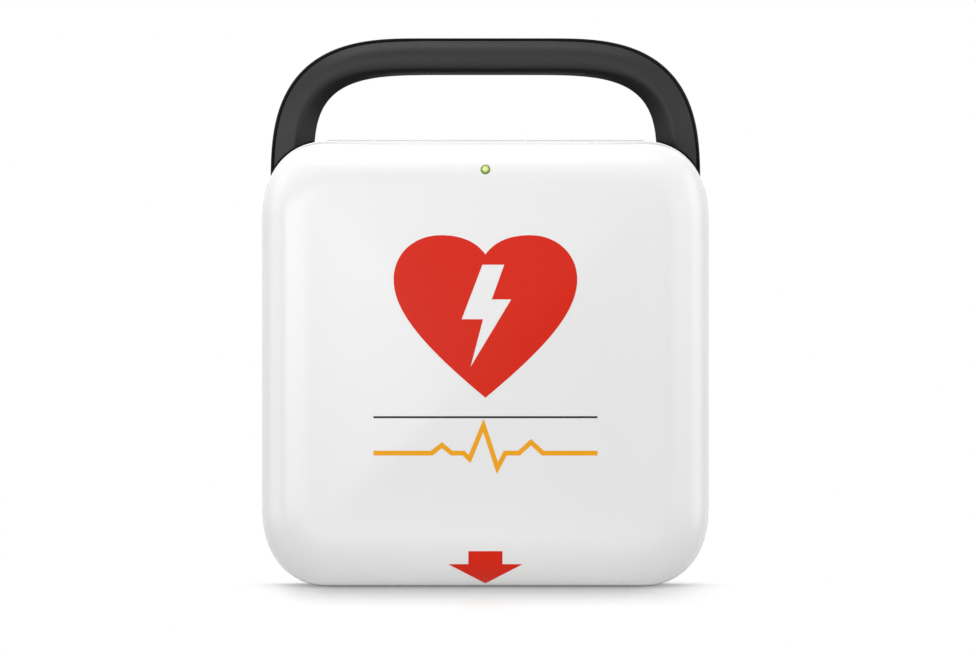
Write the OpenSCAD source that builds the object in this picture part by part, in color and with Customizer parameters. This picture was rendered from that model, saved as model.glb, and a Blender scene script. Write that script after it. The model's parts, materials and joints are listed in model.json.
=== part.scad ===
// Automated external defibrillator: a case that stands on its flat foot, with a hinged lid over the
// control deck and the electrode tray, a grip over the top and a battery that slides out at the back.
// Millimetres. X runs to the right, Y from the lid to the back, and Z up. The origin is on the ground
// under the middle of the case.

/* [Case] */
// Width of the case
body_w = 226; // [216:1:240]
// Height of the case from the ground to its top edge, without the handle
body_h = 225.5; // [218:0.5:240]
// Depth of the case from the front of the lid to its back
body_d = 97; // [94:1:108]
// How far a corner's curve runs along the top and bottom edges
corner_across = 35; // [32:1:40]
// How far a corner's curve runs along the side edges
corner_up = 41; // [36:1:46]
// Fullness of the corner's curve: 2 is an ellipse and more is squarer
corner_power = 2.3; // [2:0.1:2.8]
// Wall of the lid and of the rear housing
wall = 3; // [2.5:0.1:3.5]
// Radius of the rear housing's back edges
back_edge_r = 14; // [10:0.5:16]

/* [Lid] */
// Depth of the lid
lid_d = 28.5; // [27:0.5:31]
// How far the lid's rounded edge reaches in over its front
lid_edge_in = 24; // [20:1:28]
// Depth of the straight side of the lid behind its rounded edge
lid_side_d = 8.5; // [6:0.5:10]
// How much the lid's front is crowned
lid_crown = 1.6; // [0.8:0.1:2.4]
// Air under the lid, so that the housing carries the weight
lid_lift = 0.4; // [0.3:0.1:1]
// Diameter of the status light in the lid
status_d = 4.5; // [3.5:0.5:6]
// Distance of the status light below the top edge
status_drop = 14.5; // [13:0.5:17]

// How far the lid's rim stands out around the rounded edge
lip_out = 0.7; // [0.5:0.1:1]
// Depth of the lid's rim
lip_d = 2; // [1.5:0.1:3]

/* [Seam and hinge] */
// Width of the shadow gap between the lid and the rear housing
seam_w = 3.5; // [3:0.1:4]
// Depth of the shadow gap
seam_d = 2.2; // [1.8:0.1:2.6]
// Radius of the hinge barrel
barrel_r = 3; // [2.6:0.1:3.2]
// Distance of the hinge line below the top edge
barrel_drop = 2.5; // [2.3:0.1:2.8]
// Length of the hinge barrel
barrel_l = 160; // [130:2:170]
// Radius of the hinge pin
pin_r = 1.25; // [1:0.05:1.5]
// Running clearance between the pin and its bores
pin_fit = 0.05; // [0.02:0.01:0.1]

/* [Handle] */
// Height of the handle above the top edge of the case
handle_rise = 52.2; // [46:0.2:60]
// Height of the bar of the handle
bar_h = 18.7; // [16:0.1:21]
// Width of a leg of the handle
leg_w = 22; // [19:0.5:23]
// Depth of the handle
handle_d = 22; // [18:0.5:25]
// Distance of the handle's front behind the seam
handle_back = 24; // [22:0.5:28]

/* [Control deck] */
// Thickness of the deck
deck_t = 2.5; // [2.2:0.1:2.8]
// Distance of the electrode tray from the sides of the case
tray_margin = 27; // [25:0.5:33]
// Distance of the electrode tray from the ground
tray_foot = 24; // [22:0.5:28]
// Height of the band of controls between the tray and the top edge
panel_band = 83.5; // [80:0.5:92]
// Depth of the well that holds the tray
tray_d = 16; // [14:0.5:17]
// Radius of the shock button
shock_r = 16; // [13:0.5:17]
// Length of a small button
key_w = 34; // [28:1:36]
// Height of a small button
key_h = 13; // [11:0.5:14]
// Travel of the three buttons
press = 1.5; // [1:0.1:1.7]
// Radius of the speaker
speaker_r = 20; // [17:0.5:21]

/* [Battery] */
// Width of the battery
battery_w = 112; // [108:1:120]
// Height of the battery
battery_h = 60; // [56:1:66]
// Depth of the battery
battery_d = 32; // [30:0.5:33]
// Travel of the battery latch
latch_travel = 4; // [3:0.5:5]

/* [Clearances] */
// Gap between pieces that are screwed or dropped together
fit = 0.2; // [0.15:0.05:0.25]
// Gap between pieces that move past each other
slip = 0.3; // [0.25:0.05:0.4]

/* [Hidden] */
$fn = 48;
eps = 0.01;

// Planes across the depth
front_y = -body_d / 2;
back_y = body_d / 2;
rim_y = front_y + lid_d;
house_y = rim_y + seam_w;
deck_y = house_y - deck_t;
cavity_y = back_y - wall;

// Half sizes and centres of the two shells
half_w = body_w / 2;
house_inset = 0.2;
house_hw = half_w - house_inset;
house_hh = body_h / 2;
lid_hh = (body_h - lid_lift) / 2;
lid_z = body_h - lid_hh;
corner_steps = 12;
edge_steps = 6;
edge_power = 2.2;

// Hinge line
axis_y = (rim_y + house_y) / 2;
axis_z = body_h - barrel_drop;
relief_r = barrel_r + 1.4;
relief_end = 14;
lug_l = 24;
lug_mid_l = 40;
lug_gap = 0.5;

// Finishes
white = [0.93, 0.94, 0.94];
charcoal = [0.16, 0.16, 0.17];
grip_black = [0.1, 0.1, 0.11];
pale_grey = [0.78, 0.79, 0.8];
red = [0.8, 0.12, 0.1];
steel = [0.72, 0.73, 0.75];
board_green = [0.05, 0.32, 0.18];

// ---- shared shapes ----

function reversed(list) = [for (i = [len(list) - 1:-1:0]) list[i]];

function quarter(steps) =
    [for (i = [0:steps]) let (t = 90 * i / steps)
        [pow(cos(t), 2 / corner_power), pow(sin(t), 2 / corner_power)]];

// Points round a rectangle of half width hw and half height hh whose corners are curved over ax and az
function outline(hw, hh, ax, az, steps = corner_steps) =
    let (q = quarter(steps), cx = hw - ax, cz = hh - az)
    concat(
        [for (i = [0:steps]) [cx + ax * q[i][0], cz + az * q[i][1]]],
        [for (i = [steps:-1:0]) [-cx - ax * q[i][0], cz + az * q[i][1]]],
        [for (i = [0:steps]) [-cx - ax * q[i][0], -cz - az * q[i][1]]],
        [for (i = [steps:-1:0]) [cx + ax * q[i][0], -cz - az * q[i][1]]]);

// The outline of a shell, moved in by d and laid at depth y round height z
function shell_ring(hw, hh, z, d, y) =
    [for (p = outline(hw - d, hh - d, corner_across - d, corner_up - d)) [p[0], y, z + p[1]]];

// The same outline shrunk towards its centre by the share s
function crown_ring(hw, hh, z, d, y, s) =
    [for (p = outline(hw - d, hh - d, corner_across - d, corner_up - d)) [p[0] * s, y, z + p[1] * s]];

// A skin stretched over rings of points: capped at both ends, or closed on itself
module loft(rings, closed = false) {
    n = len(rings[0]);
    m = len(rings);
    last = closed ? m - 1 : m - 2;
    sides = [for (j = [0:last], i = [0:n - 1])
        let (a = j * n + i, b = j * n + (i + 1) % n, c = (a + n) % (m * n), d = (b + n) % (m * n))
        each [[a, b, d], [a, d, c]]];
    caps = closed ? [] : [[for (i = [n - 1:-1:0]) i], [for (i = [0:n - 1]) (m - 1) * n + i]];
    polyhedron(points = [for (ring = rings) each ring], faces = concat(caps, sides));
}

// A flat shape drawn as X and Z, thickened from y0 back to y1
module slab(y0, y1) {
    translate([0, y1, 0])
        rotate([90, 0, 0])
            linear_extrude(height = y1 - y0)
                children();
}

module peg(x, z, r, y0, y1) {
    slab(y0, y1)
        translate([x, z])
            circle(r);
}

module block(x0, x1, y0, y1, z0, z1) {
    translate([x0, y0, z0])
        cube([x1 - x0, y1 - y0, z1 - z0]);
}

// A rod along X
module bar(x0, x1, y, z, r) {
    translate([x0, y, z])
        rotate([0, 90, 0])
            cylinder(h = x1 - x0, r = r);
}

// A rectangle with round corners, or a slot with round ends where 2 r is its whole height
module rounded(w, h, r) {
    square([w - 2 * r, h], center = true);
    if (h - 2 * r > eps)
        square([w, h - 2 * r], center = true);
    for (x = [-1, 1], z = [-1, 1])
        translate([x * (w / 2 - r), z * (h / 2 - r)])
            circle(r);
}

module house_outline(d) {
    translate([0, house_hh])
        polygon(outline(house_hw - d, house_hh - d, corner_across - d, corner_up - d));
}

module lid_outline(d) {
    translate([0, lid_z])
        polygon(outline(half_w - d, lid_hh - d, corner_across - d, corner_up - d));
}

// A pan head screw along Y whose head sits at y and whose thread runs towards the front
module screw(x, z, y, head_r, head_h, thread_r, length) {
    peg(x, z, head_r, y, y + head_h);
    peg(x, z, thread_r, y - length, y + eps);
}

// ---- rear housing ----

// Screws that join the housing and the deck, down deep wells in the back
case_screw_at = [
    for (x = [-1, 1]) each [
        [x * (half_w - 16), 28],
        [x * (half_w - 16), body_h - 95],
        [x * (half_w - 47), body_h - 14.5]
    ]
];
well_r = 4.2;
boss_r = 5.6;
case_seat_t = 3;
deck_post_l = 15.5;
case_seat_y = house_y + deck_post_l + case_seat_t;
post_r = 4.5;
thread_r = 1.6;
thread_fit = 0.1;
shank_r = 2.1;
shank_l = 20;
head_r = 3.6;
head_h = 2.6;
case_screw_l = 13;
handle_screw_l = 12;

// Handle path: where its outer and inner edges run
handle_top = body_h + handle_rise;
handle_hw = half_w - 3.8;
outer_a = 76;
outer_b = handle_rise + 22.8;
outer_power = 2.86;
inner_hw = handle_hw - leg_w;
inner_a = 70;
inner_b = handle_rise - bar_h + 20.5;
inner_power = 3.87;
handle_front_y = rim_y + handle_back;
handle_mid_y = handle_front_y + handle_d / 2;
foot_w = 10;
foot_d = 13;
foot_z = body_h - 59;
foot_x = handle_hw - leg_w / 2;
foot_back_y = handle_mid_y + foot_d / 2;
handle_screw_z = [foot_z + 8, foot_z + 23];
handle_seat_t = 3;
grip_fit = 0.15;
grip_back_r = 4.5;
grip_rim_w = 1.35;
grip_rim_d = 5.1;
grip_rim_fall = 0.8;
grip_crease = 0.25;
grip_edge_in = 1.9;
grip_edge_d = 3.9;
grip_leg_rise = 1.6;
grip_flank_d = 2.4;
grip_side_d = 6.5;
core_corner_r = 3;

// Height of the housing's top edge at a distance x from the middle
function top_z(x) =
    let (u = max(0, min(1, (abs(x) - (house_hw - corner_across)) / corner_across)))
    body_h - corner_up * (1 - pow(1 - pow(u, corner_power), 1 / corner_power));

battery_z = 64;
bay_w = battery_w + 2 * slip;
bay_h = battery_h + 2 * slip;
bay_floor_y = back_y - battery_d - slip;
bay_wall = 2;
bay_r = 6;

latch_w = 26;
latch_h = 12;
latch_t = 2.6;
latch_z = battery_z + battery_h / 2 + slip;
latch_y = back_y - latch_t - 1.2;
thumb_w = 19;
thumb_h = 8;
thumb_z = latch_z + latch_h - thumb_h;
spring_l = 7;
spring_r = 1.1;

contact_x = 24;
contact_block_w = 30;
contact_block_h = 12;

function housing_edge(d0, r, y) =
    [for (i = [0:edge_steps]) let (t = 90 * i / edge_steps)
        shell_ring(house_hw, house_hh, house_hh, d0 + r * (1 - cos(t)), y + r * sin(t))];

module housing_skin() {
    bend_y = back_y - back_edge_r;
    inner_r = back_edge_r - wall;
    outer = concat(
        [shell_ring(house_hw, house_hh, house_hh, 1.2, house_y),
         shell_ring(house_hw, house_hh, house_hh, 0.35, house_y + 0.35),
         shell_ring(house_hw, house_hh, house_hh, 0, house_y + 1.2)],
        housing_edge(0, back_edge_r, bend_y));
    inner = concat(
        [shell_ring(house_hw, house_hh, house_hh, wall, house_y)],
        housing_edge(wall, inner_r, bend_y));
    loft(concat(reversed(inner), outer));
}

module screw_well(x, z, seat_y, seat_t, r) {
    peg(x, z, r, seat_y - seat_t, cavity_y + eps);
}

module screw_well_hole(x, z, seat_y, r) {
    peg(x, z, r, seat_y, back_y + 1);
    peg(x, z, shank_r, seat_y - shank_l, seat_y + 1);
}

module rear_housing() {
    color(charcoal)
        difference() {
            union() {
                housing_skin();
                // Battery bay
                slab(bay_floor_y - bay_wall, back_y - 1)
                    translate([0, battery_z])
                        rounded(bay_w + 2 * bay_wall, bay_h + 2 * bay_wall, bay_r + bay_wall);
                // Latch shelf above the bay
                block(-latch_w / 2 - 4, latch_w / 2 + 4, latch_y - slip - 2, cavity_y + eps,
                    latch_z - 2, latch_z + latch_h + latch_travel + spring_l + 3);
                for (p = case_screw_at)
                    screw_well(p[0], p[1], case_seat_y, case_seat_t, boss_r);
                for (x = [-foot_x, foot_x], z = handle_screw_z)
                    screw_well(x, z, foot_back_y + handle_seat_t, handle_seat_t, boss_r);
            }
            slab(bay_floor_y, back_y + 1)
                translate([0, battery_z])
                    rounded(bay_w, bay_h, bay_r);
            // Window for the battery contacts
            slab(bay_floor_y - bay_wall - 1, bay_floor_y + 1)
                translate([contact_x, battery_z])
                    square([contact_block_w + 2 * slip, contact_block_h + 2 * slip], center = true);
            // Slot of the latch
            latch_slot();
            for (p = case_screw_at)
                screw_well_hole(p[0], p[1], case_seat_y, well_r);
            for (x = [-foot_x, foot_x], z = handle_screw_z)
                screw_well_hole(x, z, foot_back_y + handle_seat_t, well_r);
            // Slots that the handle's feet pass through
            for (x = [-foot_x, foot_x])
                block(x - foot_w / 2 - slip, x + foot_w / 2 + slip,
                    handle_mid_y - foot_d / 2 - slip, foot_back_y + slip,
                    top_z(foot_x) - 24, body_h + 1);
            // Room for the lid's edge to turn
            bar(relief_end - half_w, half_w - relief_end, axis_y, axis_z, relief_r);
        }
}

// The latch slides in a pocket behind a narrower window, so that it can't fall out
module latch_slot() {
    block(-latch_w / 2 - slip, latch_w / 2 + slip, latch_y - slip, latch_y + latch_t + slip,
        battery_z + battery_h / 2 - 1, latch_z + latch_h + latch_travel + slip);
    block(-thumb_w / 2 - slip, thumb_w / 2 + slip, latch_y, back_y + 1,
        thumb_z - slip, thumb_z + thumb_h + latch_travel + slip);
    block(-spring_r - slip, spring_r + slip, latch_y - slip, latch_y + 2 * (spring_r + slip),
        latch_z + latch_h, latch_z + latch_h + latch_travel + spring_l);
}

module housing_screws() {
    color(steel)
        for (p = case_screw_at)
            screw(p[0], p[1], case_seat_y, head_r, head_h, thread_r - thread_fit, case_screw_l);
}

// ---- control deck ----

tray_w = body_w - 2 * tray_margin;
tray_h = body_h - tray_foot - panel_band;
tray_z = tray_foot + tray_h / 2;
well_w = tray_w + 2 * slip;
well_h = tray_h + 2 * slip;
well_corner = 10;
well_floor_y = deck_y + tray_d;
well_wall = 2;
panel_drop = 49.5;
panel_z = body_h - panel_drop;
shock_in = 45;
shock_x = half_w - shock_in;
speaker_in = 43;
speaker_x = speaker_in - half_w;
keys_x = -18;
key_pitch = 20;
child_z = panel_z + key_pitch / 2;
language_z = panel_z - key_pitch / 2;
socket_x = 22;
socket_w = 16;
socket_h = 24;
skirt_d = 6.5;
skirt_t = 2;
seal_in = 8;
seal_w = 2.5;
seal_h = 1.8;
seal_groove = 1.1;
bezel_w = 5;
bezel_t = 1.6;
bezel_proud = 0.6;
status_z = body_h - status_drop;
magnet_x = 60;
magnet_z = 16;
magnet_r = 4;
magnet_t = 3;
keeper_r = magnet_r + 0.4;
keeper_t = 1.2;
small_board_y = deck_y + 10;
small_board_t = 1.6;
small_board_h = 50;
small_post_at = [
    for (x = [keys_x - key_w / 2 - 4, shock_x + shock_r + 8], z = [-1, 1])
        [x, panel_z + z * (small_board_h / 2 - 5)]
];
main_gap = 3;
main_board_y = well_floor_y + well_wall + main_gap;
main_board_t = 1.6;
main_board_w = tray_w;
main_board_drop = 25;
main_board_z1 = body_h - main_board_drop;
main_tab_w = 80;
main_tab_h = 11;
main_post_in = 8;
main_post_up = 11;
tab_post_in = 7;
tab_post_drop = 5;
main_post_low = [for (x = [-1, 1], z = [-1, 1])
    [x * (main_board_w / 2 - main_post_in), tray_z + z * (tray_h / 2 - main_post_up)]];
main_post_high = [for (x = [-1, 1])
    [x * (main_tab_w / 2 - tab_post_in), main_board_z1 + main_tab_h - tab_post_drop]];

module deck_lugs() {
    bar(-barrel_l / 2, -barrel_l / 2 + lug_l, axis_y, axis_z, barrel_r);
    bar(-lug_mid_l / 2, lug_mid_l / 2, axis_y, axis_z, barrel_r);
    bar(barrel_l / 2 - lug_l, barrel_l / 2, axis_y, axis_z, barrel_r);
}

module lid_lugs(extra = 0, r = barrel_r) {
    lug_x0 = lug_mid_l / 2 + lug_gap - extra;
    lug_x1 = barrel_l / 2 - lug_l - lug_gap + extra;
    for (side = [0, 1])
        mirror([side, 0, 0])
            bar(lug_x0, lug_x1, axis_y, axis_z, r);
}

module speaker_grille() {
    slot_h = 2.2;
    slot_pitch = 4.4;
    reach = speaker_r - 3.5;
    rows = floor(reach / slot_pitch);
    for (i = [-rows:rows]) {
        half = sqrt(reach * reach - pow(i * slot_pitch, 2));
        translate([0, i * slot_pitch]) {
            square([2 * max(half - slot_h / 2, 1), slot_h], center = true);
            for (x = [-1, 1])
                translate([x * max(half - slot_h / 2, 1), 0])
                    circle(slot_h / 2);
        }
    }
}

module front_deck() {
    color(pale_grey)
        difference() {
            union() {
                slab(deck_y, house_y)
                    house_outline(seam_d);
                // Skirt that plugs into the housing
                difference() {
                    slab(house_y - eps, house_y + skirt_d)
                        house_outline(wall + fit);
                    slab(house_y - 1, house_y + skirt_d + 1)
                        house_outline(wall + fit + skirt_t);
                }
                // Well of the electrode tray
                slab(house_y - eps, well_floor_y + well_wall)
                    translate([0, tray_z])
                        rounded(well_w + 2 * well_wall, well_h + 2 * well_wall, well_corner + well_wall);
                deck_lugs();
                for (p = case_screw_at)
                    peg(p[0], p[1], post_r, house_y - eps, case_seat_y - case_seat_t);
                for (p = small_post_at)
                    peg(p[0], p[1], 3, house_y - eps, small_board_y);
                for (p = main_post_low)
                    peg(p[0], p[1], 3.5, well_floor_y + 1, main_board_y);
                for (p = main_post_high)
                    peg(p[0], p[1], 3.5, house_y - eps, main_board_y);
                // Collar of the speaker
                peg(speaker_x, panel_z, speaker_r + 2, house_y - eps, house_y + 4);
            }
            slab(deck_y - 1, well_floor_y)
                translate([0, tray_z])
                    rounded(well_w, well_h, well_corner);
            deck_holes();
        }
}

module deck_holes() {
    bar(-barrel_l / 2 - 1, barrel_l / 2 + 1, axis_y, axis_z, pin_r + pin_fit);
    lid_lugs(extra = lug_gap, r = barrel_r + slip);
    // Groove of the seal
    difference() {
        slab(deck_y - 1, deck_y + seal_groove)
            house_outline(seal_in - fit / 2);
        slab(deck_y - 2, deck_y + seal_groove + 1)
            house_outline(seal_in + seal_w + fit / 2);
    }
    peg(shock_x, panel_z, shock_r + slip, deck_y - 1, house_y + 1);
    peg(shock_x, panel_z, shock_r + bezel_w + fit, deck_y - 1, deck_y + bezel_t - bezel_proud);
    for (z = [child_z, language_z])
        slab(deck_y - 1, house_y + 1)
            translate([keys_x, z])
                rounded(key_w + 2 * slip, key_h + 2 * slip, key_h / 2 + slip);
    slab(deck_y - 1, house_y + 1)
        translate([socket_x, panel_z])
            rounded(socket_w + 2 * fit, socket_h + 2 * fit, 3);
    slab(deck_y - 1, house_y + 1)
        translate([speaker_x, panel_z])
            speaker_grille();
    peg(speaker_x, panel_z, speaker_r, house_y, house_y + 5);
    peg(0, status_z, status_d / 2 + fit, deck_y - 1, house_y + 1);
    for (x = [-magnet_x, magnet_x])
        peg(x, magnet_z, keeper_r + fit, deck_y - 1, deck_y + keeper_t);
    for (p = case_screw_at)
        peg(p[0], p[1], thread_r, house_y + 2, case_seat_y);
    for (p = small_post_at)
        peg(p[0], p[1], 1.2, house_y + 1, small_board_y + 1);
    for (p = main_post_low)
        peg(p[0], p[1], 1.4, main_board_y - 4, main_board_y + 1);
    for (p = main_post_high)
        peg(p[0], p[1], 1.4, main_board_y - 8, main_board_y + 1);
}

module lid_seal() {
    color(charcoal)
        difference() {
            slab(deck_y + seal_groove - seal_h, deck_y + seal_groove)
                house_outline(seal_in);
            slab(deck_y - 3, deck_y + 3)
                house_outline(seal_in + seal_w);
        }
}

module keeper_plates() {
    color(steel)
        for (x = [-magnet_x, magnet_x])
            peg(x, magnet_z, keeper_r, deck_y, deck_y + keeper_t);
}

// ---- handle ----

// Stations along the handle: each is its outer and inner edge point, and its share of the leg,
// which is 1 where the bow starts and 0 at the bar
function bow(t, hw, top, a, b, power) =
    [hw - a + a * pow(cos(t), 2 / power), top - b + b * pow(sin(t), 2 / power)];

bow_steps = 10;
function half_bow() =
    [for (i = [0:bow_steps]) let (t = 90 * i / bow_steps)
        [bow(t, handle_hw, handle_top, outer_a, outer_b, outer_power),
         bow(t, inner_hw, handle_top - bar_h, inner_a, inner_b, inner_power), pow(cos(t), 1.5)]];

section_steps = 3;

// The core's section: half width w and half depth d, with its corners curved over r
function core_section(w, d) =
    outline(w, d, core_corner_r, core_corner_r, section_steps);

function mix(a, b, share) = a + (b - a) * share;

// Cuts the corners of an open line of points, so that it turns in a smooth curve
function smooth_line(p, times) =
    times == 0 ? p : smooth_line(concat([p[0]], [for (i = [0:len(p) - 2]) each
        [mix(p[i], p[i + 1], 0.25), mix(p[i], p[i + 1], 0.75)]], [p[len(p) - 1]]), times - 1);

// The grip's section from its inner edge at -w to its outer edge at w. The front has an outer
// facet, a face, an inner facet and a flank, and a thin rim stands behind the outer facet. The
// outer facet is narrow along the bar, and it widens to half of the leg and flattens there.
function grip_section(w, d, leg) =
    let (ridge = mix(0.39, 0.03, leg) * w, turn = mix(-0.55, -0.15, leg) * w,
        flank = mix(-0.82, -0.55, leg) * w,
        edge_d = grip_edge_d - grip_leg_rise * leg, rim_d = grip_rim_d - grip_leg_rise * leg)
    concat(
        smooth_line([
            [w, grip_back_r], [w, d - grip_back_r], [w - grip_back_r, d], [grip_back_r - w, d],
            [-w, d - grip_back_r], [-w, grip_side_d - d], [flank, grip_flank_d - d], [turn, -d],
            [ridge, -d], [w - grip_edge_in, edge_d - d]
        ], 2),
        [[w - grip_edge_in + grip_crease, rim_d - d + grip_crease],
         [w - grip_rim_w, rim_d - d],
         [w - grip_crease, rim_d - grip_rim_fall - d],
         [w, rim_d - grip_rim_fall + grip_crease - d]]);

// The section set across a station of the bow
function across(station, section) =
    let (o = station[0], i = station[1], mid = (o + i) / 2, dir = (o - i) / norm(o - i))
    [for (p = section) [mid[0] + dir[0] * p[0], handle_mid_y + p[1], mid[1] + dir[1] * p[0]]];

// A level section of a leg at the height z
function leg_end(section, z) = [for (p = section) [foot_x + p[0], handle_mid_y + p[1], z]];

function mirrored(rings) = [for (ring = reversed(rings)) [for (p = ring) [-p[0], p[1], p[2]]]];

grip_end_z = body_h - corner_up;
function grip_half() = concat(
    [leg_end(grip_section(leg_w / 2, handle_d / 2, 1), grip_end_z)],
    [for (s = half_bow()) across(s, grip_section(norm(s[0] - s[1]) / 2, handle_d / 2, s[2]))]);

function core_half(extra, z) =
    let (section = core_section(foot_w / 2 + extra, foot_d / 2 + extra))
    concat([leg_end(section, z)], [for (s = half_bow()) across(s, section)]);

// Both halves, from the left foot over the bar to the right foot
function whole(half) = concat(mirrored(reversed(half)), reversed(half));

// The legs of the grip are cut to the outline of the case that they stand on
module handle_grip() {
    color(grip_black)
        difference() {
            loft(whole(grip_half()));
            loft(whole(core_half(grip_fit, foot_z)));
            slab(handle_front_y - 1, handle_front_y + handle_d + 1)
                house_outline(-slip);
        }
}

module handle_frame() {
    color(charcoal)
        difference() {
            loft(whole(core_half(0, foot_z)));
            for (x = [-foot_x, foot_x], z = handle_screw_z)
                peg(x, z, thread_r, foot_back_y - 10, foot_back_y + 1);
        }
}

module handle_screws() {
    color(steel)
        for (x = [-foot_x, foot_x], z = handle_screw_z)
            screw(x, z, foot_back_y + handle_seat_t, head_r, head_h, thread_r - thread_fit,
                handle_screw_l);
}

// ---- lid ----

liner_y = rim_y - 3;
liner_t = 2;
liner_gap = 0.3;
lid_boss_at = [for (x = [-1, 0, 1], z = [34, body_h - 40]) [x * (half_w - 38), z]];
lid_boss_r = 4;
lens_flange_t = 1;
bumper_at = [for (x = [-1, 1]) [x * (half_w - 17), 34]];
land_w = 3.5;
bumper_r = 3;

function lid_edge(d0, reach, back, y) =
    [for (i = [0:edge_steps]) let (t = 90 * i / edge_steps)
        shell_ring(half_w, lid_hh, lid_z, d0 + reach * (1 - pow(cos(t), 2 / edge_power)),
            y - back * pow(sin(t), 2 / edge_power))];

// The crown rises gently in rings from the rounded edge to a small flat in the middle
crown_at = [0.9, 0.75, 0.58, 0.4, 0.2];
crown_flat = crown_at[len(crown_at) - 1];
function crown_rise(s) = lid_crown * pow((1 - s * s) / (1 - crown_flat * crown_flat), 2);
function lid_front(y) =
    [for (s = crown_at) crown_ring(half_w, lid_hh, lid_z, lid_edge_in, y - crown_rise(s), s)];

lid_side_y = rim_y - lid_side_d;
lid_edge_back = lid_d - lid_side_d - lid_crown;

// Depth of the lid's rounded edge at a distance d inside its outline
function lid_y(d) =
    let (share = (d - lip_out) / (lid_edge_in - lip_out))
    lid_side_y - lid_edge_back * pow(1 - pow(1 - share, edge_power), 1 / edge_power);

module lid_skin() {
    edge_y = lid_side_y - lid_edge_back;
    outer = concat(
        [shell_ring(half_w, lid_hh, lid_z, 1, rim_y),
         shell_ring(half_w, lid_hh, lid_z, 0.3, rim_y - 0.3),
         shell_ring(half_w, lid_hh, lid_z, 0, rim_y - 1),
         shell_ring(half_w, lid_hh, lid_z, 0, rim_y - lip_d),
         shell_ring(half_w, lid_hh, lid_z, lip_out, rim_y - lip_d - lip_out / 2)],
        lid_edge(lip_out, lid_edge_in - lip_out, lid_edge_back, lid_side_y),
        lid_front(edge_y));
    inner = concat(
        [shell_ring(half_w, lid_hh, lid_z, wall, rim_y)],
        lid_edge(wall, lid_edge_in - wall, lid_edge_back - wall, lid_side_y),
        lid_front(edge_y + wall));
    loft(concat(reversed(outer), inner));
}

module lid_shell() {
    color(white)
        difference() {
            union() {
                lid_skin();
                for (p = lid_boss_at)
                    peg(p[0], p[1], lid_boss_r, front_y + lid_crown + 1.2, liner_y - liner_t);
            }
            for (p = lid_boss_at)
                peg(p[0], p[1], 1.2, liner_y - liner_t - 8, liner_y);
            peg(0, status_z, status_d / 2 + fit, front_y - 1, rim_y);
            bar(-barrel_l / 2 - lug_gap, barrel_l / 2 + lug_gap, axis_y, axis_z, barrel_r + slip);
        }
}

module lid_liner() {
    arm_z = axis_z - barrel_r;
    color(pale_grey)
        difference() {
            union() {
                slab(liner_y - liner_t, liner_y)
                    lid_outline(wall + liner_gap);
                // Land that meets the seal
                difference() {
                    slab(liner_y - 1, rim_y)
                        lid_outline(seal_in - (land_w - seal_w) / 2);
                    slab(liner_y - 2, rim_y + 1)
                        lid_outline(seal_in + seal_w + (land_w - seal_w) / 2);
                }
                lid_lugs();
                // Arms from the liner to the hinge barrel
                for (side = [0, 1])
                    mirror([side, 0, 0])
                        translate([lug_mid_l / 2 + lug_gap, 0, 0])
                            rotate([90, 0, 90])
                                linear_extrude(height = barrel_l / 2 - lug_l - lug_gap * 2 - lug_mid_l / 2)
                                    polygon([
                                        [liner_y - eps, arm_z - 8], [deck_y - 1.2, arm_z - 1],
                                        [deck_y - slip, arm_z], [axis_y, arm_z],
                                        [axis_y, arm_z + 1.4], [rim_y - 1, arm_z + 2.2],
                                        [liner_y - eps, arm_z + 2.2]
                                    ]);
                for (x = [-magnet_x, magnet_x])
                    peg(x, magnet_z, magnet_r + 1.6, liner_y - magnet_t - 1.4, liner_y - 1);
            }
            bar(-barrel_l / 2, barrel_l / 2, axis_y, axis_z, pin_r + pin_fit);
            for (x = [-magnet_x, magnet_x])
                peg(x, magnet_z, magnet_r + fit / 2, liner_y - magnet_t, liner_y + 1);
            for (p = lid_boss_at)
                peg(p[0], p[1], 1.5, liner_y - liner_t - 1, liner_y + 1);
            for (p = lid_boss_at)
                peg(p[0], p[1], 2.8, liner_y - 0.9, liner_y + 1);
            for (p = bumper_at)
                peg(p[0], p[1], 1.6 + fit / 2, liner_y - liner_t - 1, liner_y + 1);
            peg(0, status_z, status_d / 2 + fit, liner_y - liner_t - 1, liner_y + 1);
        }
}

module lid_screws() {
    color(steel)
        for (p = lid_boss_at)
            screw(p[0], p[1], liner_y - 0.9, 2.5, 0.8, 1.1, 7);
}

module status_lens() {
    lens_r = status_d / 2;
    tip = 0.6;
    lens_y = lid_y(status_drop);
    color([0.55, 0.75, 0.25])
        translate([0, lens_y, status_z])
            rotate([-90, 0, 0])
                rotate_extrude()
                    polygon([
                        [0, -tip], [lens_r * 0.5, -tip * 0.8], [lens_r * 0.85, -tip * 0.35], [lens_r, 0],
                        [lens_r, liner_y - liner_t - lens_flange_t - lens_y],
                        [lens_r + 1.5, liner_y - liner_t - lens_flange_t - lens_y],
                        [lens_r + 1.5, liner_y - liner_t - lens_y], [lens_r, liner_y - liner_t - lens_y],
                        [lens_r, liner_y - 0.2 - lens_y], [0, liner_y - 0.2 - lens_y]
                    ]);
}

module lid_magnets() {
    color(steel)
        for (x = [-magnet_x, magnet_x])
            peg(x, magnet_z, magnet_r, liner_y - magnet_t, liner_y);
}

module lid_bumpers() {
    color(charcoal)
        for (p = bumper_at) {
            peg(p[0], p[1], bumper_r, liner_y, deck_y - slip);
            peg(p[0], p[1], 1.6, liner_y - liner_t, liner_y + eps);
        }
}

module hinge_pin() {
    color(steel)
        bar(-barrel_l / 2 + 0.5, barrel_l / 2 - 0.5, axis_y, axis_z, pin_r);
}

// ---- buttons and lights ----

cap_proud = 1.5;
key_proud = 0.9;
flange_t = 1.5;
flange_w = 1.5;
stem_r = 3;
switch_h = 3.5;
stem_gap = press + slip;

module button_stem(x, z, y0) {
    peg(x, z, stem_r, y0 - eps, small_board_y - switch_h - stem_gap);
}

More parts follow.
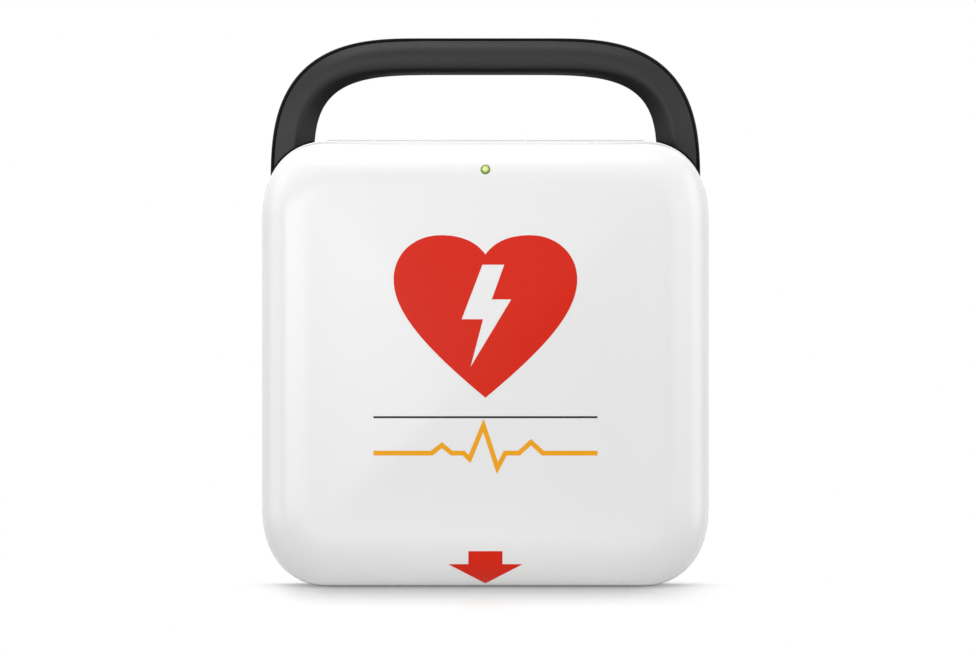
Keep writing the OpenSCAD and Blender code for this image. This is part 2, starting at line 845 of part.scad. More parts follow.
module shock_button() {
    flange_y = house_y + slip;
    color([0.95, 0.45, 0.1]) {
        peg(shock_x, panel_z, shock_r, deck_y - cap_proud, flange_y + eps);
        peg(shock_x, panel_z, shock_r + flange_w, flange_y, flange_y + flange_t);
        button_stem(shock_x, panel_z, flange_y + flange_t);
    }
}

module shock_button_ring() {
    color([0.9, 0.9, 0.85])
        slab(deck_y - bezel_proud, deck_y + bezel_t - bezel_proud)
            translate([shock_x, panel_z])
                difference() {
                    circle(shock_r + bezel_w);
                    circle(shock_r + slip);
                }
}

module key(z) {
    flange_y = house_y + slip;
    slab(deck_y - key_proud, flange_y + eps)
        translate([keys_x, z])
            rounded(key_w, key_h, key_h / 2);
    slab(flange_y, flange_y + flange_t)
        translate([keys_x, z])
            rounded(key_w + 2 * flange_w, key_h + 2 * flange_w, key_h / 2 + flange_w);
    button_stem(keys_x, z, flange_y + flange_t);
}

module child_button() {
    color([0.35, 0.55, 0.75])
        key(child_z);
}

module language_button() {
    color([0.5, 0.52, 0.54])
        key(language_z);
}

board_x0 = keys_x - key_w / 2 - 9;
board_x1 = shock_x + shock_r + 13;

module button_board() {
    color(board_green)
        difference() {
            slab(small_board_y, small_board_y + small_board_t)
                translate([(board_x0 + board_x1) / 2, panel_z])
                    rounded(board_x1 - board_x0, small_board_h, 3);
            for (p = small_post_at)
                peg(p[0], p[1], 1.5, small_board_y - 1, small_board_y + 3);
            slab(small_board_y - 1, small_board_y + 3)
                translate([socket_x, panel_z])
                    square([socket_w + 4, socket_h + 4], center = true);
        }
}

module button_board_screws() {
    color(steel)
        for (p = small_post_at)
            screw(p[0], p[1], small_board_y + small_board_t, 2.4, 1.5, 1.1, 6);
}

module button_switches() {
    color(charcoal)
        for (p = [[shock_x, panel_z], [keys_x, child_z], [keys_x, language_z]]) {
            slab(small_board_y - switch_h + 1.2, small_board_y)
                translate(p)
                    square(6, center = true);
            peg(p[0], p[1], 1.7, small_board_y - switch_h, small_board_y - switch_h + 1.3);
        }
}

module status_led() {
    color([0.5, 0.8, 0.3]) {
        peg(0, status_z, status_d / 2, deck_y + 0.3, house_y + 1);
        block(-3.5, 3.5, house_y, house_y + 1.4, status_z - 3, status_z + 3);
    }
}

module speaker_gasket() {
    color(charcoal)
        slab(house_y, house_y + 0.8)
            translate([speaker_x, panel_z])
                difference() {
                    circle(speaker_r - fit);
                    circle(speaker_r - 3);
                }
}

module speaker_frame() {
    color(steel)
        translate([speaker_x, house_y + 0.8, panel_z])
            rotate([-90, 0, 0])
                rotate_extrude()
                    polygon([
                        [speaker_r - 3.5, 0], [speaker_r - fit, 0], [speaker_r - fit, 1.2],
                        [speaker_r - 2.5, 1.2], [11, 7], [11, 14], [0, 14], [0, 12.5], [3, 12.5], [3, 8],
                        [9.5, 8], [9.5, 6.2], [speaker_r - 3.5, 1.2]
                    ]);
}

module speaker_cone() {
    color([0.2, 0.2, 0.2])
        translate([speaker_x, house_y + 0.8, panel_z])
            rotate([-90, 0, 0])
                rotate_extrude()
                    polygon([
                        [0, 2.6], [4, 3.6], [5.2, 5.4], [speaker_r - 5, 0.9], [speaker_r - 3.8, 0.3],
                        [speaker_r - 3.8, 0.9], [speaker_r - 4.8, 1.5], [5.6, 6.4], [4.4, 6.4], [3.6, 4.4],
                        [0, 3.4]
                    ]);
}

// ---- electrode tray ----

tray_floor_y = deck_y + 9;
tray_rim = 6;
pad_t = 3;
film_t = 0.6;

module electrode_tray() {
    color([0.86, 0.87, 0.88])
        difference() {
            slab(deck_y + 0.5, well_floor_y - fit)
                translate([0, tray_z])
                    rounded(tray_w, tray_h, well_corner - slip);
            slab(deck_y - 1, tray_floor_y)
                translate([0, tray_z])
                    rounded(tray_w - 2 * tray_rim, tray_h - 2 * tray_rim, 6);
            // Hollow underside
            slab(tray_floor_y + 1.6, well_floor_y + 1)
                translate([0, tray_z])
                    rounded(tray_w - 2 * tray_rim, tray_h - 2 * tray_rim, 6);
        }
}

module electrode_pads() {
    pad_w = (tray_w - 2 * tray_rim) / 2 - 6;
    color([0.9, 0.9, 0.88])
        for (x = [-1, 1])
            slab(tray_floor_y - pad_t, tray_floor_y)
                translate([x * (pad_w / 2 + 3), tray_z + 4])
                    rounded(pad_w, tray_h - 2 * tray_rim - 16, 14);
}

module tray_film() {
    color([0.85, 0.88, 0.9, 0.4])
        slab(deck_y + 0.5 - film_t, deck_y + 0.5)
            translate([0, tray_z])
                rounded(tray_w - 2, tray_h - 2, well_corner - 1);
}

module pull_handle() {
    pull_w = 96;
    pull_h = 24;
    color(red)
        slab(deck_y + 0.5 - film_t - 1.8, deck_y + 0.5 - film_t)
            translate([0, tray_z - tray_h / 2 + pull_h / 2 + 3])
                difference() {
                    rounded(pull_w, pull_h, 9);
                    translate([0, -2])
                        rounded(pull_w - 24, pull_h - 13, 5);
                }
}

module electrode_socket() {
    depth = 10;
    color(charcoal)
        difference() {
            union() {
                slab(deck_y + 0.3, house_y + depth)
                    translate([socket_x, panel_z])
                        rounded(socket_w, socket_h, 3 - fit);
                slab(house_y, house_y + 1.2)
                    translate([socket_x, panel_z])
                        rounded(socket_w + 5, socket_h + 5, 3);
            }
            slab(deck_y - 1, house_y + depth - 2)
                translate([socket_x, panel_z])
                    rounded(socket_w - 4, socket_h - 4, 1.5);
        }
}

// ---- electronics ----

board_back_y = main_board_y + main_board_t;

// The shock switch module stands above the battery bay, and the capacitor above the module
module_w = 76;
module_h = 18;
module_t = 9;
module_z = battery_z + bay_h / 2 + bay_wall + 12;
base_t = 2;
fin_h = 10;
fin_t = 1.6;
fin_pitch = 8;
fin_n = 10;
cap_gap = 2.95;
cap_r = (cavity_y - board_back_y) / 2 - cap_gap;
cap_l = 84;
cap_x0 = -76;
cap_y = (cavity_y + board_back_y) / 2;
cap_z = module_z + module_h + 6 + cap_r;
pole_l = 6;
pole_r = 1.5;
pole_pitch = 10;
cradle_l = 60;
cradle_up = 4;
core_x = 50;
core_w = 36;
core_h = 34;
core_d = 26;
core_leg = 4;
core_back = 2.2;
core_r = 6;
coil_r = 13;
coil_dip = 1;
coil_flange = 2;
relay_w = 24;
relay_h = 14;
relay_d = 15;
relay_x = 62;
radio_w = 24;
radio_h = 16;
radio_t = 2.6;
radio_x = (cap_x0 + (cap_l + cradle_l) / 2 + core_x - core_w / 2) / 2;
radio_drop = 14;

module main_board() {
    color(board_green)
        difference() {
            slab(main_board_y, board_back_y) {
                translate([0, (tray_foot + main_board_z1) / 2])
                    rounded(main_board_w, main_board_z1 - tray_foot, 4);
                translate([-main_tab_w / 2, main_board_z1 - 1])
                    square([main_tab_w, main_tab_h + 1]);
            }
            for (p = concat(main_post_low, main_post_high))
                peg(p[0], p[1], 1.7, main_board_y - 1, board_back_y + 1);
        }
}

module main_board_screws() {
    color(steel)
        for (p = concat(main_post_low, main_post_high))
            screw(p[0], p[1], board_back_y, 2.8, 1.8, 1.3, 5);
}

module energy_capacitor() {
    color([0.15, 0.25, 0.5]) {
        bar(cap_x0, cap_x0 + cap_l, cap_y, cap_z, cap_r);
        for (z = [-1, 1])
            bar(cap_x0 + cap_l - eps, cap_x0 + cap_l + pole_l, cap_y, cap_z + z * pole_pitch / 2,
                pole_r);
    }
}

module capacitor_cradle() {
    x0 = cap_x0 + (cap_l - cradle_l) / 2;
    color(charcoal)
        difference() {
            block(x0, x0 + cradle_l, board_back_y, cap_y - cradle_up, cap_z - cap_r + 1,
                cap_z + cap_r - 1);
            bar(x0 - 1, x0 + cradle_l + 1, cap_y, cap_z, cap_r + fit);
        }
}

module charging_transformer() {
    y0 = base_t / 2;
    y1 = core_d - core_back - 1;
    color([0.75, 0.5, 0.2])
        translate([core_x, board_back_y, cap_z])
            rotate([-90, 0, 0])
                rotate_extrude()
                    polygon([
                        [core_r + fit, y0], [coil_r, y0], [coil_r, y0 + coil_flange],
                        [coil_r - coil_dip, y0 + coil_flange], [coil_r - coil_dip, y1 - coil_flange],
                        [coil_r, y1 - coil_flange], [coil_r, y1], [core_r + fit, y1]
                    ]);
}

module transformer_core() {
    gap_w = core_w - 2 * core_leg;
    color([0.2, 0.2, 0.22])
        translate([core_x, board_back_y, cap_z]) {
            difference() {
                translate([-core_w / 2, 0, -core_h / 2])
                    cube([core_w, core_d, core_h]);
                translate([-gap_w / 2, base_t / 2 - fit, -core_h / 2 - 1])
                    cube([gap_w, core_d - core_back - base_t / 2, core_h + 2]);
            }
            rotate([-90, 0, 0])
                cylinder(h = core_d, r = core_r);
        }
}

module shock_switch_module() {
    color(charcoal)
        block(-module_w / 2, module_w / 2, board_back_y, board_back_y + module_t,
            module_z, module_z + module_h);
}

module heat_spreader() {
    base_y = board_back_y + module_t;
    color(steel) {
        block(-module_w / 2, module_w / 2, base_y, base_y + base_t, module_z, module_z + module_h);
        for (i = [0:fin_n - 1])
            translate([(i - (fin_n - 1) / 2) * fin_pitch - fin_t / 2, 0, 0])
                block(0, fin_t, base_y + base_t - eps, base_y + base_t + fin_h,
                    module_z, module_z + module_h);
    }
}

module isolation_relay() {
    color([0.85, 0.85, 0.8])
        block(relay_x - relay_w / 2, relay_x + relay_w / 2, board_back_y, board_back_y + relay_d,
            module_z - 2, module_z - 2 + relay_h);
}

module radio_module() {
    color(steel)
        block(radio_x - radio_w / 2, radio_x + radio_w / 2, board_back_y, board_back_y + radio_t,
            main_board_z1 - radio_drop - radio_h / 2, main_board_z1 - radio_drop + radio_h / 2);
}

module battery_contacts() {
    color([0.8, 0.65, 0.25]) {
        slab(board_back_y, bay_floor_y - 0.5)
            translate([contact_x, battery_z])
                square([contact_block_w, contact_block_h], center = true);
        for (x = contact_at)
            peg(x, battery_z, contact_r, bay_floor_y - 1, bay_floor_y + slip / 3);
    }
}

// ---- battery ----

battery_y0 = back_y - battery_d;
cover_t = 2;
case_t = 2;
cell_n = 4;
cell_gap = 0.3;
cell_r = min((battery_w - 2 * case_t - 1) / cell_n - cell_gap,
    battery_d - cover_t - case_t - 3 * cell_gap) / 2;
cell_l = battery_h - 2 * case_t - 5;
scoop_r = 10;
scoop_wall = 0.9;
scoop_w = 40;
scoop_d = back_y - battery_y0 - cover_t - 3 * cell_gap - 2 * cell_r - scoop_wall;
scoop_drop = 15;
contact_n = 4;
contact_pitch = 7;
contact_r = 1.2;
contact_at = [for (i = [0:contact_n - 1]) contact_x + (i - (contact_n - 1) / 2) * contact_pitch];

module battery_outline(d) {
    translate([0, battery_z])
        rounded(battery_w - 2 * d, battery_h - 2 * d, bay_r - slip - d * 0.9);
}

module battery_case() {
    color(charcoal)
        difference() {
            slab(battery_y0 + cover_t, back_y)
                battery_outline(0);
            slab(battery_y0, battery_y0 + cover_t + 3 * cell_gap + 2 * cell_r)
                battery_outline(case_t);
            // Finger scoop in the back, under the latch
            bar(-scoop_w / 2, scoop_w / 2, back_y + scoop_r - scoop_d, battery_z + battery_h / 2 - scoop_drop,
                scoop_r);
        }
}

module battery_cover() {
    color(charcoal)
        difference() {
            slab(battery_y0, battery_y0 + cover_t)
                battery_outline(0);
            for (x = contact_at)
                peg(x, battery_z, contact_r + 0.8, battery_y0 - 1, battery_y0 + cover_t / 3);
        }
}

module battery_cells() {
    color([0.2, 0.45, 0.6])
        for (i = [0:cell_n - 1])
            translate([(i - (cell_n - 1) / 2) * (2 * cell_r + cell_gap),
                battery_y0 + cover_t + cell_gap + cell_r, battery_z - cell_l / 2])
                cylinder(h = cell_l, r = cell_r);
}

module battery_latch() {
    color([0.3, 0.3, 0.32])
        difference() {
            union() {
                block(-latch_w / 2, latch_w / 2, latch_y, latch_y + latch_t, latch_z, latch_z + latch_h);
                block(-thumb_w / 2, thumb_w / 2, latch_y, back_y - 0.2, thumb_z, thumb_z + thumb_h);
            }
            for (z = [1.6:2.4:thumb_h - 1.5])
                bar(-latch_w / 2 - 1, latch_w / 2 + 1, back_y + 0.1, thumb_z + z, 0.8);
        }
}

module latch_spring() {
    color(steel)
        translate([0, latch_y + spring_r, latch_z + latch_h + 0.1])
            difference() {
                cylinder(h = latch_travel + spring_l - 0.2, r = spring_r);
                translate([0, 0, -1])
                    cylinder(h = latch_travel + spring_l + 2, r = spring_r - 0.5);
            }
}

rear_housing();
front_deck();
lid_seal();
housing_screws();
handle_frame();
handle_grip();
handle_screws();
hinge_pin();
lid_shell();
lid_liner();
lid_screws();
status_lens();
lid_magnets();
lid_bumpers();
keeper_plates();
shock_button();
shock_button_ring();
child_button();
language_button();
button_board();
button_board_screws();
button_switches();
status_led();
speaker_gasket();
speaker_frame();
speaker_cone();
electrode_tray();
electrode_pads();
tray_film();
pull_handle();
electrode_socket();
main_board();
main_board_screws();
energy_capacitor();
capacitor_cradle();
charging_transformer();
transformer_core();
shock_switch_module();
heat_spreader();
isolation_relay();
radio_module();
battery_contacts();
battery_case();
battery_cover();
battery_cells();
battery_latch();
latch_spring();
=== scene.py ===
# %% [markdown]
# # A public defibrillator, dressed for its picture
# The construction model gives every piece its place. This lesson loads it, sets a camera and
# soft studio light, and gives every piece its finish. The lid, the handle's grip, the electrode
# pads and the latch's spring get finer shapes of their own, and the lid and the keys their signs.

# %% Load the construction model
import json
import math

import bmesh
import bpy
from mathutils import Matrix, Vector
from mathutils.bvhtree import BVHTree


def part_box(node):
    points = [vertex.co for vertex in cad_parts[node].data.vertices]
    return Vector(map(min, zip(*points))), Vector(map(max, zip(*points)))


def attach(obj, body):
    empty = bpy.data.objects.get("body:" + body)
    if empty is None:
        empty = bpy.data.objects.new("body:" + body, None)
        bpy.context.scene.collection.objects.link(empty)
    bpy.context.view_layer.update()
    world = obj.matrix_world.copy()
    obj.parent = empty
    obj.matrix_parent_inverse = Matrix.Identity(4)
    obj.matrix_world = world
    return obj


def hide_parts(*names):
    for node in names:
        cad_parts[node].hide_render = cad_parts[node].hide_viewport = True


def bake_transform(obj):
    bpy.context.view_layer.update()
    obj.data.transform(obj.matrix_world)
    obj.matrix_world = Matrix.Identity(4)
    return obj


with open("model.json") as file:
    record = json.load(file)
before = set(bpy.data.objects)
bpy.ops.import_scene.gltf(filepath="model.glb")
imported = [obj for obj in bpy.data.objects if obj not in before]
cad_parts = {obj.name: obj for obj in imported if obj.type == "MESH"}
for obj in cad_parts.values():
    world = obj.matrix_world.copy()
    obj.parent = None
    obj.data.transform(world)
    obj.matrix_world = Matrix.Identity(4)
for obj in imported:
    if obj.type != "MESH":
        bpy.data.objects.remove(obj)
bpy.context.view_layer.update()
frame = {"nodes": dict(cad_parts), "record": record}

MM = 0.001
nodes = frame["nodes"]
lid_low, lid_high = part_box("lid_shell")
house_low, house_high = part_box("rear_housing")
grip_low, grip_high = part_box("handle_grip")
print("pieces in the model:", len(nodes))

# %% [markdown]
# ## Camera
# The case stands square to the eye, seen from far away with a long lens, so that its sides stay
# parallel. A short lens close by would show the same front but would swell it. The far eye is
# chosen because the handle, which stands behind the lid, then keeps its true width.

# %% Camera
VIEW_WIDTH = 493.9 * MM
EYE_DISTANCE = 8.0
EYE_TILT = math.radians(0.5)
middle = Vector((1.3 * MM, lid_high[1], 132.1 * MM))

camera = bpy.data.objects.new("camera", bpy.data.cameras.new("camera"))
bpy.context.scene.collection.objects.link(camera)
camera.location = middle + Vector((0, -math.cos(EYE_TILT), math.sin(EYE_TILT))) * EYE_DISTANCE
camera.rotation_euler = (math.pi / 2 - EYE_TILT, 0, 0)
camera.data.lens = camera.data.sensor_width * EYE_DISTANCE / VIEW_WIDTH
camera.data.clip_end = 50
bpy.context.scene.camera = camera
bpy.context.scene.view_settings.view_transform = "Standard"
print("lens:", round(camera.data.lens), "mm")

# %% [markdown]
# ## Floor, world and lamps
# A white table top runs into a white room. The floor could be lit until it is white, but then the
# lid would burn out too. Its white comes from the camera's own rays instead, and the lamps stay
# at a level at which a colour looks as it is written. The floor still darkens in the shadow.


# %% Small node helpers
def socket_value(node, name, value):
    node.inputs[name].default_value = value


def add_node(tree, kind, place=(0, 0), **settings):
    node = tree.nodes.new(kind)
    node.location = place
    for key, value in settings.items():
        setattr(node, key, value)
    return node


def link(tree, *pairs):
    for out, into in pairs:
        tree.links.new(out, into)


def seen_directly(tree):
    """1 for rays from the camera, from a mirror or through glass."""
    path = add_node(tree, "ShaderNodeLightPath", (-800, 300))
    first = add_node(tree, "ShaderNodeMath", (-600, 300), operation="MAXIMUM")
    both = add_node(tree, "ShaderNodeMath", (-420, 300), operation="MAXIMUM")
    link(tree, (path.outputs["Is Camera Ray"], first.inputs[0]),
         (path.outputs["Is Glossy Ray"], first.inputs[1]),
         (first.outputs[0], both.inputs[0]),
         (path.outputs["Is Transmission Ray"], both.inputs[1]))
    return both.outputs[0]


# %% World
ROOM_LIGHT = 0.37

world = bpy.data.worlds.new("white_room")
bpy.context.scene.world = world
world.use_nodes = True
tree = world.node_tree
backdrop = tree.nodes["Background"]
backdrop.inputs["Color"].default_value = (1, 1, 1, 1)
strength = add_node(tree, "ShaderNodeMapRange", (-200, 200))
socket_value(strength, "To Min", ROOM_LIGHT)
socket_value(strength, "To Max", 1.0)
link(tree, (seen_directly(tree), strength.inputs["Value"]),
     (strength.outputs["Result"], backdrop.inputs["Strength"]))
print("room light:", ROOM_LIGHT)

# %% Floor sheet
FLOOR_FALL = math.radians(27)
FLOOR_TOP = 0.05 * MM   # a little above the underside of the case, so that no two faces coincide
FLOOR_HALF = 1.2
BEND_STEPS, BEND_STEP = 12, 1.5 * MM
LEVEL_ENDS = 6 * MM   # how far behind the rim of the lid the level part ends

# The table is level under the case and falls away gently in front of it, as a sheet of paper
# does that hangs over an edge. A low eye then still sees the shadow.
table = [(FLOOR_HALF, FLOOR_TOP), (house_high[1], FLOOR_TOP),
         (lid_high[1] + LEVEL_ENDS, FLOOR_TOP)]
for step in range(1, BEND_STEPS + 1):
    turn = FLOOR_FALL * step / BEND_STEPS
    y, z = table[-1]
    table.append((y - BEND_STEP * math.cos(turn), z - BEND_STEP * math.sin(turn)))
table.append((table[-1][0] - math.cos(FLOOR_FALL), table[-1][1] - math.sin(FLOOR_FALL)))
sheet = bmesh.new()
across = [-FLOOR_HALF + 0.2 * i for i in range(13)]
rows = [[sheet.verts.new((x, y, z)) for x in across] for y, z in table]
for a, b in zip(rows, rows[1:]):
    for i in range(len(across) - 1):
        sheet.faces.new((a[i], b[i], b[i + 1], a[i + 1]))
sheet.normal_update()
if sum(face.normal.z for face in sheet.faces) < 0:
    bmesh.ops.reverse_faces(sheet, faces=sheet.faces)
floor_mesh = bpy.data.meshes.new("floor")
sheet.to_mesh(floor_mesh)
sheet.free()
floor_mesh.shade_smooth()
floor = bpy.data.objects.new("floor", floor_mesh)
bpy.context.scene.collection.objects.link(floor)
print("the table falls by", round(math.degrees(FLOOR_FALL)), "degrees in front")

# %% Floor paint
FLOOR_LIFT = 0.27
FLOOR_REACH = (0.086, 0.13)

paint = bpy.data.materials.new("white_table")
paint.use_nodes = True
tree = paint.node_tree
shader = tree.nodes["Principled BSDF"]
socket_value(shader, "Base Color", (0.72, 0.72, 0.72, 1))
socket_value(shader, "Roughness", 0.9)
socket_value(shader, "Specular IOR Level", 0.0)
socket_value(shader, "Emission Color", (1, 1, 1, 1))
lift = add_node(tree, "ShaderNodeMath", (-200, -200), operation="MULTIPLY")
lift.inputs[1].default_value = FLOOR_LIFT
link(tree, (seen_directly(tree), lift.inputs[0]),
     (lift.outputs[0], shader.inputs["Emission Strength"]))
# The paint fades out round the case, so that the table has no edge. It reaches less far to the
# sides than to the front.
oval = add_node(tree, "ShaderNodeVectorMath", (-800, -500), operation="MULTIPLY")
oval.inputs[1].default_value = (1, 0.75, 1)
reach = add_node(tree, "ShaderNodeVectorMath", (-650, -500), operation="LENGTH")
fade = add_node(tree, "ShaderNodeMapRange", (-500, -500), interpolation_type="SMOOTHSTEP")
for label, value in (("From Min", FLOOR_REACH[0]), ("From Max", FLOOR_REACH[1]),
                     ("To Min", 1), ("To Max", 0)):
    socket_value(fade, label, value)
floor_point = add_node(tree, "ShaderNodeTexCoord", (-1000, -500))
link(tree, (floor_point.outputs["Object"], oval.inputs[0]),
     (oval.outputs["Vector"], reach.inputs[0]),
     (reach.outputs["Value"], fade.inputs["Value"]))
# From below the table lets the eye through, so that the underside of the case can be looked at.
below = add_node(tree, "ShaderNodeNewGeometry", (-700, -750))
from_above = add_node(tree, "ShaderNodeMath", (-500, -750), operation="SUBTRACT")
from_above.inputs[0].default_value = 1
shown = add_node(tree, "ShaderNodeMath", (-250, -600), operation="MULTIPLY")
link(tree, (below.outputs["Backfacing"], from_above.inputs[1]),
     (fade.outputs["Result"], shown.inputs[0]),
     (from_above.outputs[0], shown.inputs[1]),
     (shown.outputs[0], shader.inputs["Alpha"]))
floor.data.materials.append(paint)
print("the paint fades out between", *(round(r / MM) for r in FLOOR_REACH), "mm")


# %% Lamps
def softbox(name, place, aim, size, power):
    lamp = bpy.data.lights.new(name, "AREA")
    lamp.shape = "RECTANGLE"
    lamp.size, lamp.size_y = size
    lamp.energy = power
    box = bpy.data.objects.new(name, lamp)
    box.location = place
    box.rotation_euler = (Vector(aim) - Vector(place)).to_track_quat("-Z", "Y").to_euler()
    bpy.context.scene.collection.objects.link(box)
    box.visible_camera = False
    return box


front = (0, lid_low[1], 0.12)
softbox("high", (-0.2, -0.22, 1.0), front, (1.1, 0.7), 4.4)
softbox("left_front", (-0.76, -1.7, 0.22), front, (1.5, 0.36), 9.6)
softbox("right_strip", (1.35, -0.7, 0.35), front, (1.1, 0.6), 3)
softbox("right_front", (0.95, -1.6, 0.24), front, (0.8, 0.36), 2.0)
softbox("right_side", (1.5, -0.15, 0.4), (0, 0, 0.15), (1.0, 1.4), 7.8)
softbox("back_high", (0, 0.6, 0.85), (0, 0, 0), (1.2, 0.5), 3.5)
softbox("left_side", (-1.5, -0.35, 0.45), (0, 0, 0.15), (1.1, 1.4), 6.5)
# A fill close above the lid lets its front fade towards the foot, and leaves no mirror image.
top_fill = softbox("top_fill", (0, -0.5, 0.55), (0, lid_low[1], 0.2), (0.8, 0.3), 0.55)
top_fill.visible_glossy = False

# %% [markdown]
# ## Shared effects
# Moulded plastic is never one flat value. Two effects are shared by most finishes here: the fine
# grain that the mould leaves, and the faint marks that hands leave. Each is a node group, built
# once and placed in every material with its own numbers.


# %% Node group: moulded grain
def group(name, inputs, outputs):
    tree = bpy.data.node_groups.new(name, "ShaderNodeTree")
    for label, value in inputs:
        socket = tree.interface.new_socket(label, in_out="INPUT", socket_type="NodeSocketFloat")
        socket.default_value = value
    for label in outputs:
        tree.interface.new_socket(label, in_out="OUTPUT", socket_type="NodeSocketFloat")
    start = add_node(tree, "NodeGroupInput", (-700, 0))
    return tree, start, add_node(tree, "NodeGroupOutput", (500, 0))


def place_of(tree):
    return add_node(tree, "ShaderNodeTexCoord", (-900, -200)).outputs["Object"]


grain_tree, given, result = group("moulded_grain", [("Scale", 1800.0), ("Softness", 0.5)],
                                  ["Height", "Tone"])
fine = add_node(grain_tree, "ShaderNodeTexNoise", (-400, 100))
fine.inputs["Detail"].default_value = 3
broad = add_node(grain_tree, "ShaderNodeTexNoise", (-400, -200))
broad.inputs["Scale"].default_value = 22
broad.inputs["Detail"].default_value = 2
where = place_of(grain_tree)
link(grain_tree, (where, fine.inputs["Vector"]), (where, broad.inputs["Vector"]),
     (given.outputs["Scale"], fine.inputs["Scale"]),
     (given.outputs["Softness"], fine.inputs["Roughness"]),
     (fine.outputs["Fac"], result.inputs["Height"]),
     (broad.outputs["Fac"], result.inputs["Tone"]))

# %% Node group: marks of handling
marks_tree, given, result = group("handling_marks", [("Base", 0.4), ("Spread", 0.1)],
                                  ["Roughness"])
smear = add_node(marks_tree, "ShaderNodeTexNoise", (-500, 100))
smear.inputs["Scale"].default_value = 14
smear.inputs["Detail"].default_value = 4
smear.inputs["Distortion"].default_value = 0.8
spread = add_node(marks_tree, "ShaderNodeMath", (-200, 100), operation="MULTIPLY_ADD")
centred = add_node(marks_tree, "ShaderNodeMath", (-350, 100), operation="SUBTRACT")
centred.inputs[1].default_value = 0.5
link(marks_tree, (place_of(marks_tree), smear.inputs["Vector"]),
     (smear.outputs["Fac"], centred.inputs[0]),
     (centred.outputs[0], spread.inputs[0]),
     (given.outputs["Spread"], spread.inputs[1]),
     (given.outputs["Base"], spread.inputs[2]),
     (spread.outputs[0], result.inputs["Roughness"]))
print("effects:", [g.name for g in bpy.data.node_groups])


# %% [markdown]
# ## Finishes
# One function mixes a finish: a colour that drifts a little over the surface, a roughness that
# the handling marks change and a bump from the grain. Only its numbers differ from one finish to
# the next, as one moulding shop would use one machine for many resins.


# %% A finish
BUMP_DEEP = 0.2 * MM


def finish(name, colour, rough, grain=0.05, scale=1800.0, drift=0.06, spread=0.08, metal=0.0,
           **extra):
    material = bpy.data.materials.new(name)
    material.use_nodes = True
    tree = material.node_tree
    shader = tree.nodes["Principled BSDF"]
    coarse = add_node(tree, "ShaderNodeGroup", (-700, 200), node_tree=grain_tree)
    socket_value(coarse, "Scale", scale)
    marks = add_node(tree, "ShaderNodeGroup", (-700, -100), node_tree=marks_tree)
    socket_value(marks, "Base", rough)
    socket_value(marks, "Spread", spread)
    tint = add_node(tree, "ShaderNodeMix", (-350, 250), data_type="RGBA")
    low, high = (tuple(min(1, c * k) for c in colour) + (1,) for k in (1 - drift, 1 + drift))
    tint.inputs[6].default_value = low
    tint.inputs[7].default_value = high
    bump = add_node(tree, "ShaderNodeBump", (-350, -250))
    socket_value(bump, "Strength", grain)
    socket_value(bump, "Distance", BUMP_DEEP)
    link(tree, (coarse.outputs["Tone"], tint.inputs["Factor"]),
         (tint.outputs[2], shader.inputs["Base Color"]),
         (marks.outputs["Roughness"], shader.inputs["Roughness"]),
         (coarse.outputs["Height"], bump.inputs["Height"]),
         (bump.outputs["Normal"], shader.inputs["Normal"]))
    socket_value(shader, "Metallic", metal)
    for label, value in extra.items():
        socket_value(shader, label.replace("_", " "), value)
    return material


# %% The finishes of this defibrillator
# Name, colour and roughness, and then the grain, its scale, how far the colour drifts and how
# far the marks spread, as far as they aren't the usual ones.
PLASTICS = [
    ("lid_plastic", (0.79, 0.795, 0.79), 0.24, 0.01, 900, 0.01, 0.04),
    ("housing_plastic", (0.022, 0.022, 0.024), 0.5, 0.35, 2600, 0.12),
    ("deck_plastic", (0.53, 0.545, 0.56), 0.42, 0.2, 2400, 0.03),
    ("handle_core_plastic", (0.012, 0.012, 0.013), 0.55, 0.2),
    ("seal_rubber", (0.011, 0.011, 0.011), 0.62, 0.25),
    ("shock_orange", (0.87, 0.15, 0.012), 0.3, 0.05),
    ("ring_plastic", (0.78, 0.76, 0.7), 0.35, 0.05),
    ("child_blue", (0.055, 0.2, 0.45), 0.4, 0.12),
    ("key_grey", (0.13, 0.14, 0.15), 0.42, 0.12),
    ("board_green", (0.006, 0.06, 0.025), 0.35, 0.2, 700),
    ("black_plastic", (0.008, 0.008, 0.009), 0.45, 0.15),
    ("tray_plastic", (0.68, 0.69, 0.7), 0.38, 0.1),
    ("pad_foam", (0.7, 0.7, 0.66), 0.8, 0.6, 1500),
    ("pull_red", (0.55, 0.015, 0.012), 0.36, 0.08),
    ("capacitor_sleeve", (0.006, 0.016, 0.07), 0.25, 0.05),
    ("ferrite", (0.01, 0.01, 0.011), 0.6, 0.3),
    ("relay_plastic", (0.6, 0.6, 0.52), 0.4, 0.1),
    ("cell_sleeve", (0.012, 0.07, 0.12), 0.3, 0.05),
    ("latch_plastic", (0.06, 0.062, 0.066), 0.42, 0.15),
    ("status_green", (0.3, 0.42, 0.04), 0.25, 0.02),
]
METALS = [
    ("screw_steel", (0.5, 0.5, 0.51), 0.32),
    ("pin_steel", (0.58, 0.58, 0.6), 0.25, 0.03),
    ("magnet_metal", (0.7, 0.7, 0.71), 0.16, 0.02),
    ("winding_copper", (0.62, 0.25, 0.08), 0.35, 0.3, 1200),
    ("spreader_metal", (0.62, 0.63, 0.64), 0.34, 0.1),
    ("shield_metal", (0.6, 0.61, 0.62), 0.3),
    ("contact_brass", (0.75, 0.5, 0.16), 0.25),
]
FINISHES = {mix[0]: finish(*mix) for mix in PLASTICS}
FINISHES.update({mix[0]: finish(*mix, metal=1.0) for mix in METALS})
FINISHES["grip_rubber"] = finish("grip_rubber", (0.0125, 0.0125, 0.013), 0.44, 0.2, 3000, 0.1,
                                 Specular_IOR_Level=0.3)
FINISHES["clear_film"] = finish("clear_film", (0.8, 0.85, 0.88), 0.12, Alpha=0.22)
print("finishes:", len(FINISHES))

